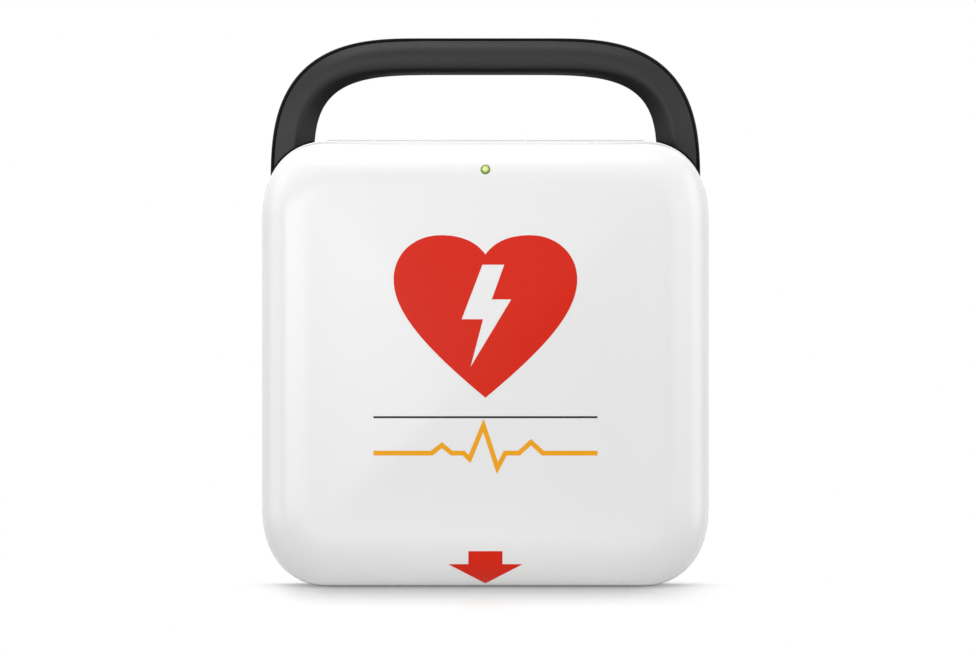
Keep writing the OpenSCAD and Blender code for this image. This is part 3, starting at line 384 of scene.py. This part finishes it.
# %% [markdown]
# ## Tidy shading for the carried-over pieces
# The construction model's flat facets would catch the light like cut glass. A geometry node
# group joins the split corners and smooths every edge that is blunter than a set angle. A small
# bevel then rounds the sharp edges, as every moulded edge is, and weighted normals keep the flat
# faces flat.


# %% Geometry nodes: join and smooth
def smoothing(limit):
    tree = bpy.data.node_groups.new("join_and_smooth", "GeometryNodeTree")
    tree.interface.new_socket("Geometry", in_out="INPUT", socket_type="NodeSocketGeometry")
    tree.interface.new_socket("Geometry", in_out="OUTPUT", socket_type="NodeSocketGeometry")
    start = add_node(tree, "NodeGroupInput", (-600, 0))
    end = add_node(tree, "NodeGroupOutput", (600, 0))
    join = add_node(tree, "GeometryNodeMergeByDistance", (-400, 0))
    join.inputs["Distance"].default_value = 0.002 * MM
    faces = add_node(tree, "GeometryNodeSetShadeSmooth", (-150, 0), domain="FACE")
    edges = add_node(tree, "GeometryNodeSetShadeSmooth", (150, 0), domain="EDGE")
    edges.inputs["Shade Smooth"].default_value = False
    angle = add_node(tree, "GeometryNodeInputMeshEdgeAngle", (-400, -250))
    sharp = add_node(tree, "FunctionNodeCompare", (-150, -250), data_type="FLOAT",
                     operation="GREATER_THAN")
    sharp.inputs["B"].default_value = limit
    link(tree, (start.outputs[0], join.inputs["Geometry"]),
         (join.outputs[0], faces.inputs["Geometry"]),
         (faces.outputs[0], edges.inputs["Geometry"]),
         (angle.outputs["Unsigned Angle"], sharp.inputs["A"]),
         (sharp.outputs[0], edges.inputs["Selection"]),
         (edges.outputs[0], end.inputs[0]))
    return tree


SHARP = math.radians(32)
join_and_smooth = smoothing(SHARP)


def tidy(piece, bevel):
    """Smooth shading, and a bevel of that width in metres on the sharp edges."""
    modifier = piece.modifiers.new("join_and_smooth", "NODES")
    modifier.node_group = join_and_smooth
    if bevel:
        edge = piece.modifiers.new("edge", "BEVEL")
        edge.width = bevel
        edge.segments = 2
        edge.limit_method = "ANGLE"
        edge.angle_limit = SHARP
        edge.harden_normals = False
    weighted = piece.modifiers.new("weighted", "WEIGHTED_NORMAL")
    weighted.keep_sharp = True
    weighted.weight = 60


# %% Dress every piece that is carried over
slots = {part["node"]: part["material_slot"] for part in frame["record"]["subparts"]}
# The bevel of each moulded piece, in millimetres. The pieces that aren't named get none.
SOFT_EDGES = {"front_deck": 0.3, "lid_liner": 0.3, "electrode_tray": 0.5, "pull_handle": 0.35,
              "shock_button": 0.6, "child_button": 0.5, "language_button": 0.5,
              "battery_case": 0.4, "battery_latch": 0.25, "shock_button_ring": 0.3,
              "lid_bumpers": 0.4, "electrode_pads": 0.6}


def dress(name, piece):
    for slot in piece.material_slots:
        slot.link = "OBJECT"
        slot.material = FINISHES[slots[name]]
    tidy(piece, SOFT_EDGES.get(name, 0.0) * MM)


for name, piece in sorted(nodes.items()):
    dress(name, piece)
print("dressed:", len(nodes))

# %% [markdown]
# ## The case's outline
# The corners are neither round nor square: they follow a superellipse, longer up than across.
# The same outline, moved in step by step, gives every ring of the lid, and the room that the
# case takes out of the handle's legs. With rings close together the skin is smooth without any
# subdivision.

# %% Outline and skins
CORNER_ACROSS = 35 * MM
CORNER_UP = 41 * MM
CORNER_POWER = 2.3
CORNER_STEPS = 30


def outline(half_w, half_h, across, up, steps=CORNER_STEPS, power=CORNER_POWER):
    turns = [math.pi / 2 * i / steps for i in range(steps)]
    quarter = [(math.cos(t) ** (2 / power), math.sin(t) ** (2 / power)) for t in turns]
    quarter.append((0.0, 1.0))
    cx, cz = half_w - across, half_h - up
    first = [(cx + across * a, cz + up * b) for a, b in quarter]
    second = [(-x, z) for x, z in reversed(first)]
    lower = [(x, -z) for x, z in reversed(first + second)]
    return first + second + lower


def ring(half_w, half_h, mid_z, inset, y, share=1.0):
    points = outline(half_w - inset, half_h - inset, CORNER_ACROSS - inset, CORNER_UP - inset)
    return [Vector((x * share, y, mid_z + z * share)) for x, z in points]


def skin(name, rings):
    """A mesh stretched over rings of points, with both ends capped."""
    mesh = bmesh.new()
    rows = [[mesh.verts.new(p) for p in r] for r in rings]
    for a, b in zip(rows, rows[1:]):
        for i in range(len(a)):
            j = (i + 1) % len(a)
            mesh.faces.new((a[i], a[j], b[j], b[i]))
    mesh.faces.new(rows[0][::-1])
    mesh.faces.new(rows[-1])
    bmesh.ops.remove_doubles(mesh, verts=mesh.verts, dist=0.003 * MM)
    bmesh.ops.recalc_face_normals(mesh, faces=mesh.faces)
    data = bpy.data.meshes.new(name)
    mesh.to_mesh(data)
    mesh.free()
    piece = bpy.data.objects.new(name, data)
    bpy.context.scene.collection.objects.link(piece)
    return piece


# %% Cutting
def cut(piece, cutters):
    """Takes the cutters out of a piece, for good, and removes them from the scene."""
    for cutter in cutters:
        hole = piece.modifiers.new("cut", "BOOLEAN")
        hole.operation = "DIFFERENCE"
        hole.solver = "EXACT"
        hole.object = cutter
    graph = bpy.context.evaluated_depsgraph_get()
    data = bpy.data.meshes.new_from_object(piece.evaluated_get(graph))
    piece.modifiers.clear()
    piece.data = data
    for cutter in cutters:
        bpy.data.objects.remove(cutter)


def rod(name, start, end, radius, steps=48):
    turn = (Vector(end) - Vector(start)).to_track_quat("Z", "Y")
    rings = [[Vector(p) + turn @ Vector((radius * math.cos(2 * math.pi * i / steps),
                                         radius * math.sin(2 * math.pi * i / steps), 0))
              for i in range(steps)] for p in (start, end)]
    return skin(name, rings)


# %% [markdown]
# ## The lid
# The real lid is one glossy moulding: a thin rim that stands out all round, a straight side, an
# edge that rounds over like a quarter of a superellipse, and a front that is crowned by less
# than two millimetres. It is stretched over rings from the rim to the middle, outside and then
# inside, so that it is a closed wall.

# %% Lid skin
WALL = 3 * MM
LID_EDGE_IN = 24 * MM
LID_SIDE = 8.5 * MM
LID_CROWN = 1.6 * MM
EDGE_POWER = 2.2
EDGE_STEPS, CROWN_STEPS = 22, 26
LIP_OUT, LIP_DEEP = 0.55, 2.0   # the rim's own step and depth, in millimetres
lid_half_w = lid_high[0]
lid_half_h = (lid_high[2] - lid_low[2]) / 2
lid_mid = (lid_high[2] + lid_low[2]) / 2
rim_y = lid_high[1]
side_y = rim_y - LID_SIDE
edge_back = (lid_high[1] - lid_low[1]) - LID_SIDE - LID_CROWN


def lid_rings(wall, thinner):
    """Rings from the side to the middle, moved in by wall and back by thinner."""
    rings = []
    reach, back = LID_EDGE_IN - wall, edge_back - thinner
    for i in range(EDGE_STEPS + 1):
        t = math.pi / 2 * i / EDGE_STEPS
        inset = wall + reach
        if i < EDGE_STEPS:
            inset = wall + reach * (1 - math.cos(t) ** (2 / EDGE_POWER))
        rings.append(ring(lid_half_w, lid_half_h, lid_mid, inset,
                          side_y - back * math.sin(t) ** (2 / EDGE_POWER)))
    for i in range(1, CROWN_STEPS):
        share = 1 - i / CROWN_STEPS
        rise = LID_CROWN * (1 - share * share) ** 2
        rings.append(ring(lid_half_w, lid_half_h, lid_mid, LID_EDGE_IN, side_y - back - rise,
                          share))
    return rings


# How far each ring of the rim is moved in, and how far it lies in front of the rim, in
# millimetres: a rounded back edge, the rim, a soft cove and the start of the side.
RIM_PROFILE = ((1.0, 0), (0.62, 0.08), (0.3, 0.3), (0.08, 0.62), (0, 1.0),
               (0, LIP_DEEP - 0.15), (0.05, LIP_DEEP - 0.04), (0.13, LIP_DEEP + 0.03),
               (LIP_OUT - 0.27, LIP_DEEP + 0.22), (LIP_OUT - 0.13, LIP_DEEP + 0.5),
               (LIP_OUT - 0.04, LIP_DEEP + 0.95), (LIP_OUT, LIP_DEEP + 1.5),
               (LIP_OUT, 5.0), (LIP_OUT, 6.5))
outer = [ring(lid_half_w, lid_half_h, lid_mid, inset * MM, rim_y - back * MM)
         for inset, back in RIM_PROFILE]
inner = [ring(lid_half_w, lid_half_h, lid_mid, WALL, rim_y)] + lid_rings(WALL, WALL)
lid = skin("lid_skin", (outer + lid_rings(LIP_OUT * MM, 0.0))[::-1] + inner)
print("lid skin:", len(lid.data.polygons), "faces")

# %% Holes of the lid
LENS_HOLE_R = 2.45 * MM
BARREL_HALF, BARREL_ROOM_R = 80.5 * MM, 3.3 * MM
CUT_PAST = 5 * MM
lens_low, lens_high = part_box("status_lens")
status_z = (lens_low[2] + lens_high[2]) / 2
hinge_low, hinge_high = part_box("hinge_pin")
axis_y = (hinge_low[1] + hinge_high[1]) / 2
axis_z = (hinge_low[2] + hinge_high[2]) / 2
lens_hole = rod("hole", (0, lid_low[1] - CUT_PAST, status_z), (0, rim_y + CUT_PAST, status_z),
                LENS_HOLE_R)
hinge_groove = rod("groove", (-BARREL_HALF, axis_y, axis_z), (BARREL_HALF, axis_y, axis_z),
                   BARREL_ROOM_R)
cut(lid, [lens_hole, hinge_groove])
lid.data.materials.clear()
lid.data.materials.append(FINISHES["lid_plastic"])
tidy(lid, 0)
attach(lid, "lid")
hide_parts("lid_shell")
print("lid after cutting:", len(lid.data.polygons), "faces")

# %% [markdown]
# ## Signs on the lid
# The signs are printed films, a few hundredths of a millimetre thick. Each is drawn flat, sliced
# into small cells and pressed back onto the lid along the line of sight of a printer, so that it
# follows the crown and the rounded edge. A painted mask in the lid's material would look the
# same from the front, but a real film keeps its edge in every light and in every export.

# %% Press a drawing onto the lid
FILM = 0.05 * MM
PRESS_FROM = -0.3
lid_surface = BVHTree.FromObject(lid, bpy.context.evaluated_depsgraph_get())


def loop_edges(mesh, points):
    verts = [mesh.verts.new((x * MM, 0, z * MM)) for x, z in points]
    return [mesh.edges.new((verts[i], verts[(i + 1) % len(verts)])) for i in range(len(verts))]


def pressed(name, loops, cell, material, body="lid", surface=lid_surface):
    """A film cut to closed loops, in millimetres, and pressed on from the front in cells."""
    mesh = bmesh.new()
    edges = [e for points in loops for e in loop_edges(mesh, points)]
    bmesh.ops.triangle_fill(mesh, edges=edges, use_beauty=True, use_dissolve=False)
    xs = [v.co.x for v in mesh.verts]
    zs = [v.co.z for v in mesh.verts]
    for low, high, normal in ((min(xs), max(xs), Vector((1, 0, 0))),
                              (min(zs), max(zs), Vector((0, 0, 1)))):
        steps = int((high - low) / (cell * MM))
        for i in range(1, steps + 1):
            at = normal * (low + (high - low) * i / (steps + 1))
            bmesh.ops.bisect_plane(mesh, geom=mesh.verts[:] + mesh.edges[:] + mesh.faces[:],
                                   plane_co=at, plane_no=normal, dist=1e-7)
    for v in mesh.verts:
        place, normal, *_ = surface.ray_cast(Vector((v.co.x, PRESS_FROM, v.co.z)),
                                             Vector((0, 1, 0)))
        v.co = place + normal * FILM
    for face in mesh.faces:
        face.smooth = True
    bmesh.ops.recalc_face_normals(mesh, faces=mesh.faces)
    if sum(f.normal.y for f in mesh.faces) > 0:
        bmesh.ops.reverse_faces(mesh, faces=mesh.faces)
    data = bpy.data.meshes.new(name)
    mesh.to_mesh(data)
    mesh.free()
    data.materials.append(material)
    piece = bpy.data.objects.new(name, data)
    bpy.context.scene.collection.objects.link(piece)
    thick = piece.modifiers.new("film", "SOLIDIFY")
    thick.thickness = FILM * 0.8
    thick.offset = -1
    tidy(piece, 0)
    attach(piece, body)
    return piece


# %% Curves for the drawings
def bezier(a, b, c, d, steps=20):
    points = []
    for i in range(steps):
        t = i / steps
        k = ((1 - t) ** 3, 3 * t * (1 - t) ** 2, 3 * t * t * (1 - t), t ** 3)
        points.append(tuple(sum(w * p[n] for w, p in zip(k, (a, b, c, d))) for n in (0, 1)))
    return points


def heart(tip, notch, top, wide, width, lobe):
    """Heights of the tip, the notch, the top and the widest place, and two half widths."""
    right = (bezier((0, tip), (width * 0.65, tip + 25), (width, wide - 16.5), (width, wide))
             + bezier((width, wide), (width, wide + 13), (width * 0.78, top), (lobe, top))
             + bezier((lobe, top), (lobe * 0.53, top), (lobe * 0.2, notch + 6.3), (0, notch)))
    return right + [(0, notch)] + [(-x, z) for x, z in reversed(right[1:])]


# %% Heart, arrow, rule and heartbeat
INK = dict(grain=0.01, scale=900, drift=0.02, spread=0.05, Specular_IOR_Level=0.12)
sign_red = finish("sign_red", (0.66, 0.019, 0.0055), 0.3, **INK)
sign_amber = finish("sign_amber", (0.86, 0.37, 0.01), 0.3, **INK)
sign_charcoal = finish("sign_charcoal", (0.02, 0.02, 0.022), 0.34, **INK)
sign_white = finish("sign_white", (0.82, 0.82, 0.81), 0.34, **INK)

bolt = [(-1.5, 163), (9.5, 163), (3.2, 145.5), (13, 145.5), (-7.5, 111.5), (-1.2, 135.5),
        (-12, 135.5)]
pressed("heart_sign", [heart(95.9, 168.2, 177.9, 155.5, 46.3, 22.5), bolt], 4, sign_red)
arrow = [(-8.6, 18.5), (-8.6, 11.9), (-18.8, 11.9), (0, 2.0), (18.8, 11.9), (8.6, 11.9),
         (8.6, 18.5)]
pressed("arrow_sign", [arrow], 1, sign_red)


def stroke(points, width):
    """The outline of a line of that width through the points, with mitred joints."""
    sides = ([], [])
    for i, p in enumerate(points):
        here = Vector(p)
        before = (here - Vector(points[i - 1])).normalized() if i else None
        after = (Vector(points[i + 1]) - here).normalized() if i + 1 < len(points) else None
        before, after = before or after, after or before
        normal = Vector((-before.y, before.x)) + Vector((-after.y, after.x))
        normal.normalize()
        reach = width / 2 / max(0.35, normal.dot(Vector((-before.y, before.x))))
        for side, sign in zip(sides, (1, -1)):
            side.append(tuple(here + normal * reach * sign))
    return sides[0] + sides[1][::-1]


RULE_HALF = 56.5
beat = [(-RULE_HALF, 68), (-27, 68), (-22, 72), (-17, 68), (-11, 68), (-8, 65), (-1, 82),
        (6, 60.5), (10, 68), (17, 68), (23, 73.5), (29, 68), (RULE_HALF, 68)]
pressed("heartbeat_sign", [stroke(beat, 2.4)], 4, sign_amber)
rule = [(-RULE_HALF, 85.6), (-RULE_HALF, 86.6), (RULE_HALF, 86.6), (RULE_HALF, 85.6)]
pressed("rule_sign", [rule], 4, sign_charcoal)
print("signs pressed on the lid: 4")

# %% [markdown]
# ## Status light
# The light is a small green lens in the lid. Its middle glows and its edge stays olive. The pale
# middle of its base colour is partly that glow and partly a painted highlight, so it sits a
# little up and to the left of the lens's middle, and the colour runs with the distance from that
# spot. A lamp object behind a clear lens could do the glow too, but would need far more samples
# for so small a spot.

# %% Status lens
glow_tree = FINISHES["status_green"].node_tree
glow_shader = glow_tree.nodes["Principled BSDF"]
lens_point = add_node(glow_tree, "ShaderNodeTexCoord", (-1100, -500))
offset = add_node(glow_tree, "ShaderNodeVectorMath", (-900, -500), operation="SUBTRACT")
# The spot lies 0.35 mm up and 0.1 mm to the left of the lens's middle, where the painted
# highlight sits.
offset.inputs[1].default_value = (-0.1 * MM, lens_low[1], status_z + 0.35 * MM)
away = add_node(glow_tree, "ShaderNodeVectorMath", (-700, -500), operation="LENGTH")
glow_and_highlight_ramp = add_node(glow_tree, "ShaderNodeMapRange", (-500, -500), interpolation_type="SMOOTHSTEP")
for label, value in (("From Min", 0.9 * MM), ("From Max", 2.1 * MM),
                     ("To Min", 1.0), ("To Max", 0.0)):
    socket_value(glow_and_highlight_ramp, label, value)
# Pale middle in the base colour: partly the light's own glow, partly a painted highlight.
lens_tone_and_painted_highlight = add_node(glow_tree, "ShaderNodeMix", (-250, -500), data_type="RGBA")
lens_tone_and_painted_highlight.inputs[6].default_value = (0.2, 0.29, 0.035, 1)
lens_tone_and_painted_highlight.inputs[7].default_value = (0.6, 0.74, 0.24, 1)
glow = add_node(glow_tree, "ShaderNodeMix", (-250, -750), data_type="RGBA")
glow.inputs[6].default_value = (0, 0, 0, 1)
glow.inputs[7].default_value = (0.08, 0.11, 0.04, 1)
link(glow_tree, (lens_point.outputs["Object"], offset.inputs[0]),
     (offset.outputs["Vector"], away.inputs[0]),
     (away.outputs["Value"], glow_and_highlight_ramp.inputs["Value"]),
     (glow_and_highlight_ramp.outputs["Result"], lens_tone_and_painted_highlight.inputs["Factor"]),
     (glow_and_highlight_ramp.outputs["Result"], glow.inputs["Factor"]),
     (lens_tone_and_painted_highlight.outputs[2], glow_shader.inputs["Base Color"]),
     (glow.outputs[2], glow_shader.inputs["Emission Color"]))
socket_value(glow_shader, "Emission Strength", 1.0)
print("status light at", [round(v / MM, 1) for v in (0, lens_low[1], status_z)], "mm")

# %% [markdown]
# ## The handle
# The grip is a soft black skin over a stiff core. Its bow follows two superellipses, one for the
# outer and one for the inner edge. Its section has facets that widen from the bar to the legs,
# and a thin rim with a crease along the outer edge. A swept curve object could give the bow, but
# neither two different edge curves nor a section that changes, so the skin is lofted station by
# station.

# %% Grip skin
OUTER_A, OUTER_B, OUTER_POWER = 76 * MM, 75 * MM, 2.86
INNER_A, INNER_B, INNER_POWER = 70 * MM, 54 * MM, 3.87
LEG_W, BAR_H = 22 * MM, 18.7 * MM
BOW_STEPS, BAR_STEPS = 44, 6
CASE_CLEAR = 0.3 * MM
handle_hw = grip_high[0]
handle_top = grip_high[2]
handle_mid = (grip_low[1] + grip_high[1]) / 2
handle_half_d = (grip_high[1] - grip_low[1]) / 2
leg_x = handle_hw - LEG_W / 2
leg_end_z = house_high[2] - CORNER_UP


def bow(t, hw, top, a, b, power):
    return Vector((hw - a + a * max(0, math.cos(t)) ** (2 / power),
                   top - b + b * math.sin(t) ** (2 / power)))


def smooth_line(points, times):
    """Cuts the corners of an open line again and again, so that it turns in a smooth curve."""
    for _ in range(times):
        cut_points = [points[0]]
        for (u, v), (x, y) in zip(points, points[1:]):
            cut_points += [(0.75 * u + 0.25 * x, 0.75 * v + 0.25 * y),
                           (0.25 * u + 0.75 * x, 0.25 * v + 0.75 * y)]
        points = cut_points + [points[-1]]
    return points


def grip_section(w, d, leg):
    """Facets of the front, with 1 for a leg and 0 for the bar, and the thin rim behind them."""
    w, d = w / MM, d / MM
    ridge, turn, flank = (w * (bar + (low - bar) * leg)
                          for bar, low in ((0.39, 0.03), (-0.55, -0.15), (-0.82, -0.55)))
    rise = 2.2 * leg
    facets = smooth_line([(w, 4.5), (w, d - 4.5), (w - 4.5, d), (5 - w, d), (0.5 - w, d - 4.5),
                          (0.3 - w, 9 - d), (-w, 6.9 - d), (-w, 6.3 - d), (0.4 - w, 5.6 - d),
                          (flank, 2.4 - d), (turn, -d), (ridge, -d),
                          (w - 1.9, 3.9 - rise - d)], 3)
    rim = smooth_line([(w - 1.65, 5.35), (w - 1.35, 5.1), (w - 0.25, 4.3), (w, 4.55)], 1)
    return [(u * MM, v * MM) for u, v in facets + [(x, y - rise - d) for x, y in rim]]


def station(outer, inner, leg):
    mid, out = (outer + inner) / 2, (outer - inner).normalized()
    return [Vector((mid.x + out.x * u, handle_mid + v, mid.y + out.y * u))
            for u, v in grip_section((outer - inner).length / 2, handle_half_d, leg)]


stations = [[Vector((leg_x + u, handle_mid + v, leg_end_z))
             for u, v in grip_section(LEG_W / 2, handle_half_d, 1)]]
for i in range(BOW_STEPS + 1):
    t = math.pi / 2 * i / BOW_STEPS
    outer_edge = bow(t, handle_hw, handle_top, OUTER_A, OUTER_B, OUTER_POWER)
    inner_edge = bow(t, handle_hw - LEG_W, handle_top - BAR_H, INNER_A, INNER_B, INNER_POWER)
    stations.append(station(outer_edge, inner_edge, max(0, math.cos(t)) ** 1.5))
left = [[Vector((-p.x, p.y, p.z)) for p in s] for s in reversed(stations)]
straight = [[a.lerp(b, k / BAR_STEPS) for a, b in zip(stations[-1], left[0])]
            for k in range(1, BAR_STEPS)]
grip = skin("grip_skin", stations + straight + left)

house_half_w = house_high[0]
house_half_h = (house_high[2] - house_low[2]) / 2
case_room = skin("case_room", [ring(house_half_w, house_half_h, house_half_h, -CASE_CLEAR, y)
                               for y in (grip_low[1] - 2 * MM, grip_high[1] + 2 * MM)])
cut(grip, [case_room])
grip.data.materials.clear()
grip.data.materials.append(FINISHES["grip_rubber"])
tidy(grip, 0)
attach(grip, "case")
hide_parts("handle_grip")
print("grip skin:", len(grip.data.polygons), "faces")

# %% [markdown]
# ## Symbols on the keys
# Every key of such a case carries a symbol, so that nobody has to read in an emergency. The
# symbols are films too, pressed onto their own keys in the way of the signs on the lid, and they
# travel with the keys. The shapes are drawn from a few points in millimetres.

# %% Shapes of the symbols
def disc(x, z, radius, steps=28):
    turns = [2 * math.pi * i / steps for i in range(steps)]
    return [(x + radius * math.cos(t), z + radius * math.sin(t)) for t in turns]


def rounded(x, z, wide, high, corner, tail=()):
    """A rounded rectangle, drawn against the clock. The tail's points leave its lower edge."""
    points = []
    for quarter, (sx, sz) in enumerate(((1, 1), (-1, 1), (-1, -1), (1, -1))):
        middle_x, middle_z = x + sx * (wide / 2 - corner), z + sz * (high / 2 - corner)
        turns = [math.pi / 2 * (quarter + i / 7) for i in range(8)]
        points += [(middle_x + corner * math.cos(t), middle_z + corner * math.sin(t))
                   for t in turns]
        if quarter == 2:
            points += list(tail)
    return points


def figure(x, foot, tall):
    """A head over a body with sloping shoulders, as on a door sign."""
    body = [(-0.13, 0), (-0.23, 0.5), (-0.2, 0.6), (-0.12, 0.66), (0.12, 0.66), (0.2, 0.6),
            (0.23, 0.5), (0.13, 0)]
    return [disc(x, foot + 0.85 * tall, 0.14 * tall, 20),
            [(x + u * tall, foot + v * tall) for u, v in body]]


# %% Symbols pressed onto the keys
def on_key(name, key, loops):
    surface = BVHTree.FromObject(nodes[key], bpy.context.evaluated_depsgraph_get())
    symbol = pressed(name, loops, 3, sign_white, body=key, surface=surface)


def middle_of(node):
    low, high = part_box(node)
    return (low[0] + high[0]) / 2 / MM, (low[2] + high[2]) / 2 / MM


BOLT_MIDDLE, BOLT_SCALE = 137.2, 0.38
x, z = middle_of("shock_button")
small_bolt = [(x + u * BOLT_SCALE, z + (v - BOLT_MIDDLE) * BOLT_SCALE) for u, v in bolt]
on_key("shock_symbol", "shock_button", [small_bolt])
x, z = middle_of("child_button")
family = figure(x - 3.4, z - 4.6, 9.4) + figure(x + 3.2, z - 4.6, 6.2)
on_key("child_symbol", "child_button", family)
x, z = middle_of("language_button")
left_tail = [(x - 5.6, z - 1.9), (x - 6.6, z - 4.2), (x - 3.6, z - 1.9)]
right_tail = [(x + 4.4, z - 2.3), (x + 7.2, z - 4.2), (x + 6.6, z - 2.3)]
on_key("speech_symbol", "language_button",
       [rounded(x - 4.2, z + 0.9, 8.4, 5.6, 1.8, left_tail),
        rounded(x + 5.2, z + 0.1, 7.0, 4.8, 1.6, right_tail)])
print("keys with a symbol: 3")

# %% [markdown]
# ## Electrode pads
# Two soft foam pads lie in the tray, ready to be torn out. A pad is a sheet of foam, a little
# crowned, with its rim pressed thin all round where the foam is welded to the cover sheet. Cloth
# with pressure could swell it, but a foam so thin keeps its cut shape, so each pad is built from
# rings that step from the flat back over the pressed rim to the crown.

# %% Pads
PAD_CORNER = 14 * MM
HALF_GAP = 3 * MM   # half of the room between the two pads
pads_low, pads_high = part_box("electrode_pads")
pad_half_w = (pads_high[0] - HALF_GAP) / 2
pad_half_h = (pads_high[2] - pads_low[2]) / 2
pad_mid_z = (pads_high[2] + pads_low[2]) / 2
# Each ring: how far it is moved in, and its depth behind the pad's front, in millimetres
PAD_RINGS = [(6.0, 3.0), (1.0, 3.0), (0.3, 2.8), (0.0, 2.5), (0.0, 1.9), (0.3, 1.6), (1.0, 1.45),
             (3.2, 1.4), (3.7, 1.5), (4.2, 1.4), (4.8, 1.05), (6.0, 0.75), (9.0, 0.42),
             (13.0, 0.2), (18.0, 0.08), (25.0, 0.02), (31.0, 0.0)]


def foam_pad(name, side):
    mid_x = side * (HALF_GAP + pad_half_w)
    rings = []
    for inset, depth in PAD_RINGS:
        inset *= MM
        corner = max(PAD_CORNER - inset, 3 * MM)
        edge = outline(pad_half_w - inset, pad_half_h - inset, corner, corner, 10, 2)
        rings.append([Vector((mid_x + px, pads_low[1] + depth * MM, pad_mid_z + pz))
                      for px, pz in edge])
    pad = skin(name, rings)
    pad.data.materials.append(FINISHES["pad_foam"])
    tidy(pad, 0)
    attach(pad, "case")
    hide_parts("electrode_pads")
    return pad, mid_x / MM


left_pad, left_x = foam_pad("left_pad", -1)
right_pad, right_x = foam_pad("right_pad", 1)
print("pads:", [round(v / MM) for v in left_pad.dimensions], "mm each")

# %% Pictures on the pads
pad_grey = finish("pad_grey", (0.36, 0.38, 0.41), 0.5, **INK)
pad_blue = finish("pad_blue", (0.05, 0.16, 0.4), 0.5, **INK)
CHEST_HALF = [(-15, -24), (-16, -4), (-21, -7), (-24, 2), (-22, 11), (-15, 15.5), (-5, 17)]
CHEST = CHEST_HALF + [(-u, v) for u, v in reversed(CHEST_HALF)]
for pad, mid_x, patch in ((left_pad, left_x, (-9, 7)), (right_pad, right_x, (11, -9))):
    surface = BVHTree.FromObject(pad, bpy.context.evaluated_depsgraph_get())
    mid_z = pad_mid_z / MM - 6
    chest = [(mid_x + u, mid_z + v) for u, v in CHEST]
    head = disc(mid_x, mid_z + 26, 7)
    pad_spot = rounded(mid_x + patch[0], mid_z + patch[1], 9, 12, 2.5)
    band = [rounded(mid_x, pad_mid_z / MM, 2 * (pad_half_w / MM - k), 2 * (pad_half_h / MM - k),
                    PAD_CORNER / MM - k) for k in (6.5, 8.3)]
    drawings = (("chest", [chest, pad_spot, head], pad_grey), ("patch", [pad_spot], sign_red),
                ("band", band, pad_blue))
    for kind, loops, ink in drawings:
        film = pressed(pad.name + "_" + kind, loops, 6, ink, body="case", surface=surface)
print("pictures on the pads: 2")

# %% [markdown]
# ## Painted shade in front of the handle
# From the front, a thin black line parts the white lid from each grey leg of the handle, where a
# narrow shade falls between them. What makes it on the real unit isn't known. Here a near-black
# strip across each shoulder paints that shade in. It stays clear of the circle in which the lid's
# edge turns.

# %% Painted shade strips
STRIP_OUT, STRIP_IN = 1.15 * MM, 1.0 * MM
STRIP_FROM, STRIP_TO = 87.7 * MM, 108.8 * MM
STRIP_STEPS = 120
strip_front, strip_back = rim_y + 5.4 * MM, rim_y + 7.2 * MM
# Near-black: painted shade for the narrow dark gap between the lid and each leg.
painted_shade_black = finish("painted_shade_black", (0.003, 0.003, 0.003), 0.7, 0.15, Specular_IOR_Level=0.1)
over, under = [outline(lid_half_w + step, lid_half_h + step, CORNER_ACROSS + step,
                       CORNER_UP + step, STRIP_STEPS) for step in (STRIP_OUT, -STRIP_IN)]
for name, side in (("left_bead", -1), ("right_bead", 1)):
    rings = [[Vector((side * x, y, lid_mid + z)) for (x, z), y in
              ((high, strip_front), (high, strip_back), (low, strip_back), (low, strip_front))]
             for high, low in zip(over[:STRIP_STEPS], under) if STRIP_FROM < high[0] < STRIP_TO]
    shade_strip = skin(name, rings)
    shade_strip.data.materials.append(painted_shade_black)
    tidy(shade_strip, 0.4 * MM)
    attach(shade_strip, "case")
    print(name, "from x", round(STRIP_FROM / MM, 1), "to", round(STRIP_TO / MM, 1), "mm")

# %% [markdown]
# ## The spring of the battery latch
# A small compression spring keeps the latch down over the battery. It is wound from round wire,
# and its end turns lie closer, so that it stands square.

# %% Latch spring
WIRE_R = 0.22 * MM
TURNS, TURN_STEPS, WIRE_STEPS = 10, 24, 8
CLOSER_ENDS = 0.07
spring_low, spring_high = [Vector(corner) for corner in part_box("latch_spring")]
coil_mid = (spring_low + spring_high) / 2
coil_r = (spring_high.x - spring_low.x) / 2 - WIRE_R
coil_h = spring_high.z - spring_low.z - 2 * WIRE_R
wire = []
around = [2 * math.pi * k / WIRE_STEPS for k in range(WIRE_STEPS)]
for i in range(TURNS * TURN_STEPS + 1):
    share = i / (TURNS * TURN_STEPS)
    turn = 2 * math.pi * TURNS * share
    out = Vector((math.cos(turn), math.sin(turn), 0))
    rise = coil_h * (share - 0.5 - CLOSER_ENDS * math.sin(2 * math.pi * share))
    wire.append([coil_mid + out * (coil_r + WIRE_R * math.cos(a))
                 + Vector((0, 0, rise + WIRE_R * math.sin(a))) for a in around])
spring = skin("coil_spring", wire)
spring.data.materials.append(FINISHES[slots["latch_spring"]])
spring.data.shade_smooth()
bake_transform(spring)
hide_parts("latch_spring")
print("spring:", TURNS, "turns,", round(coil_h / MM, 1), "mm long")
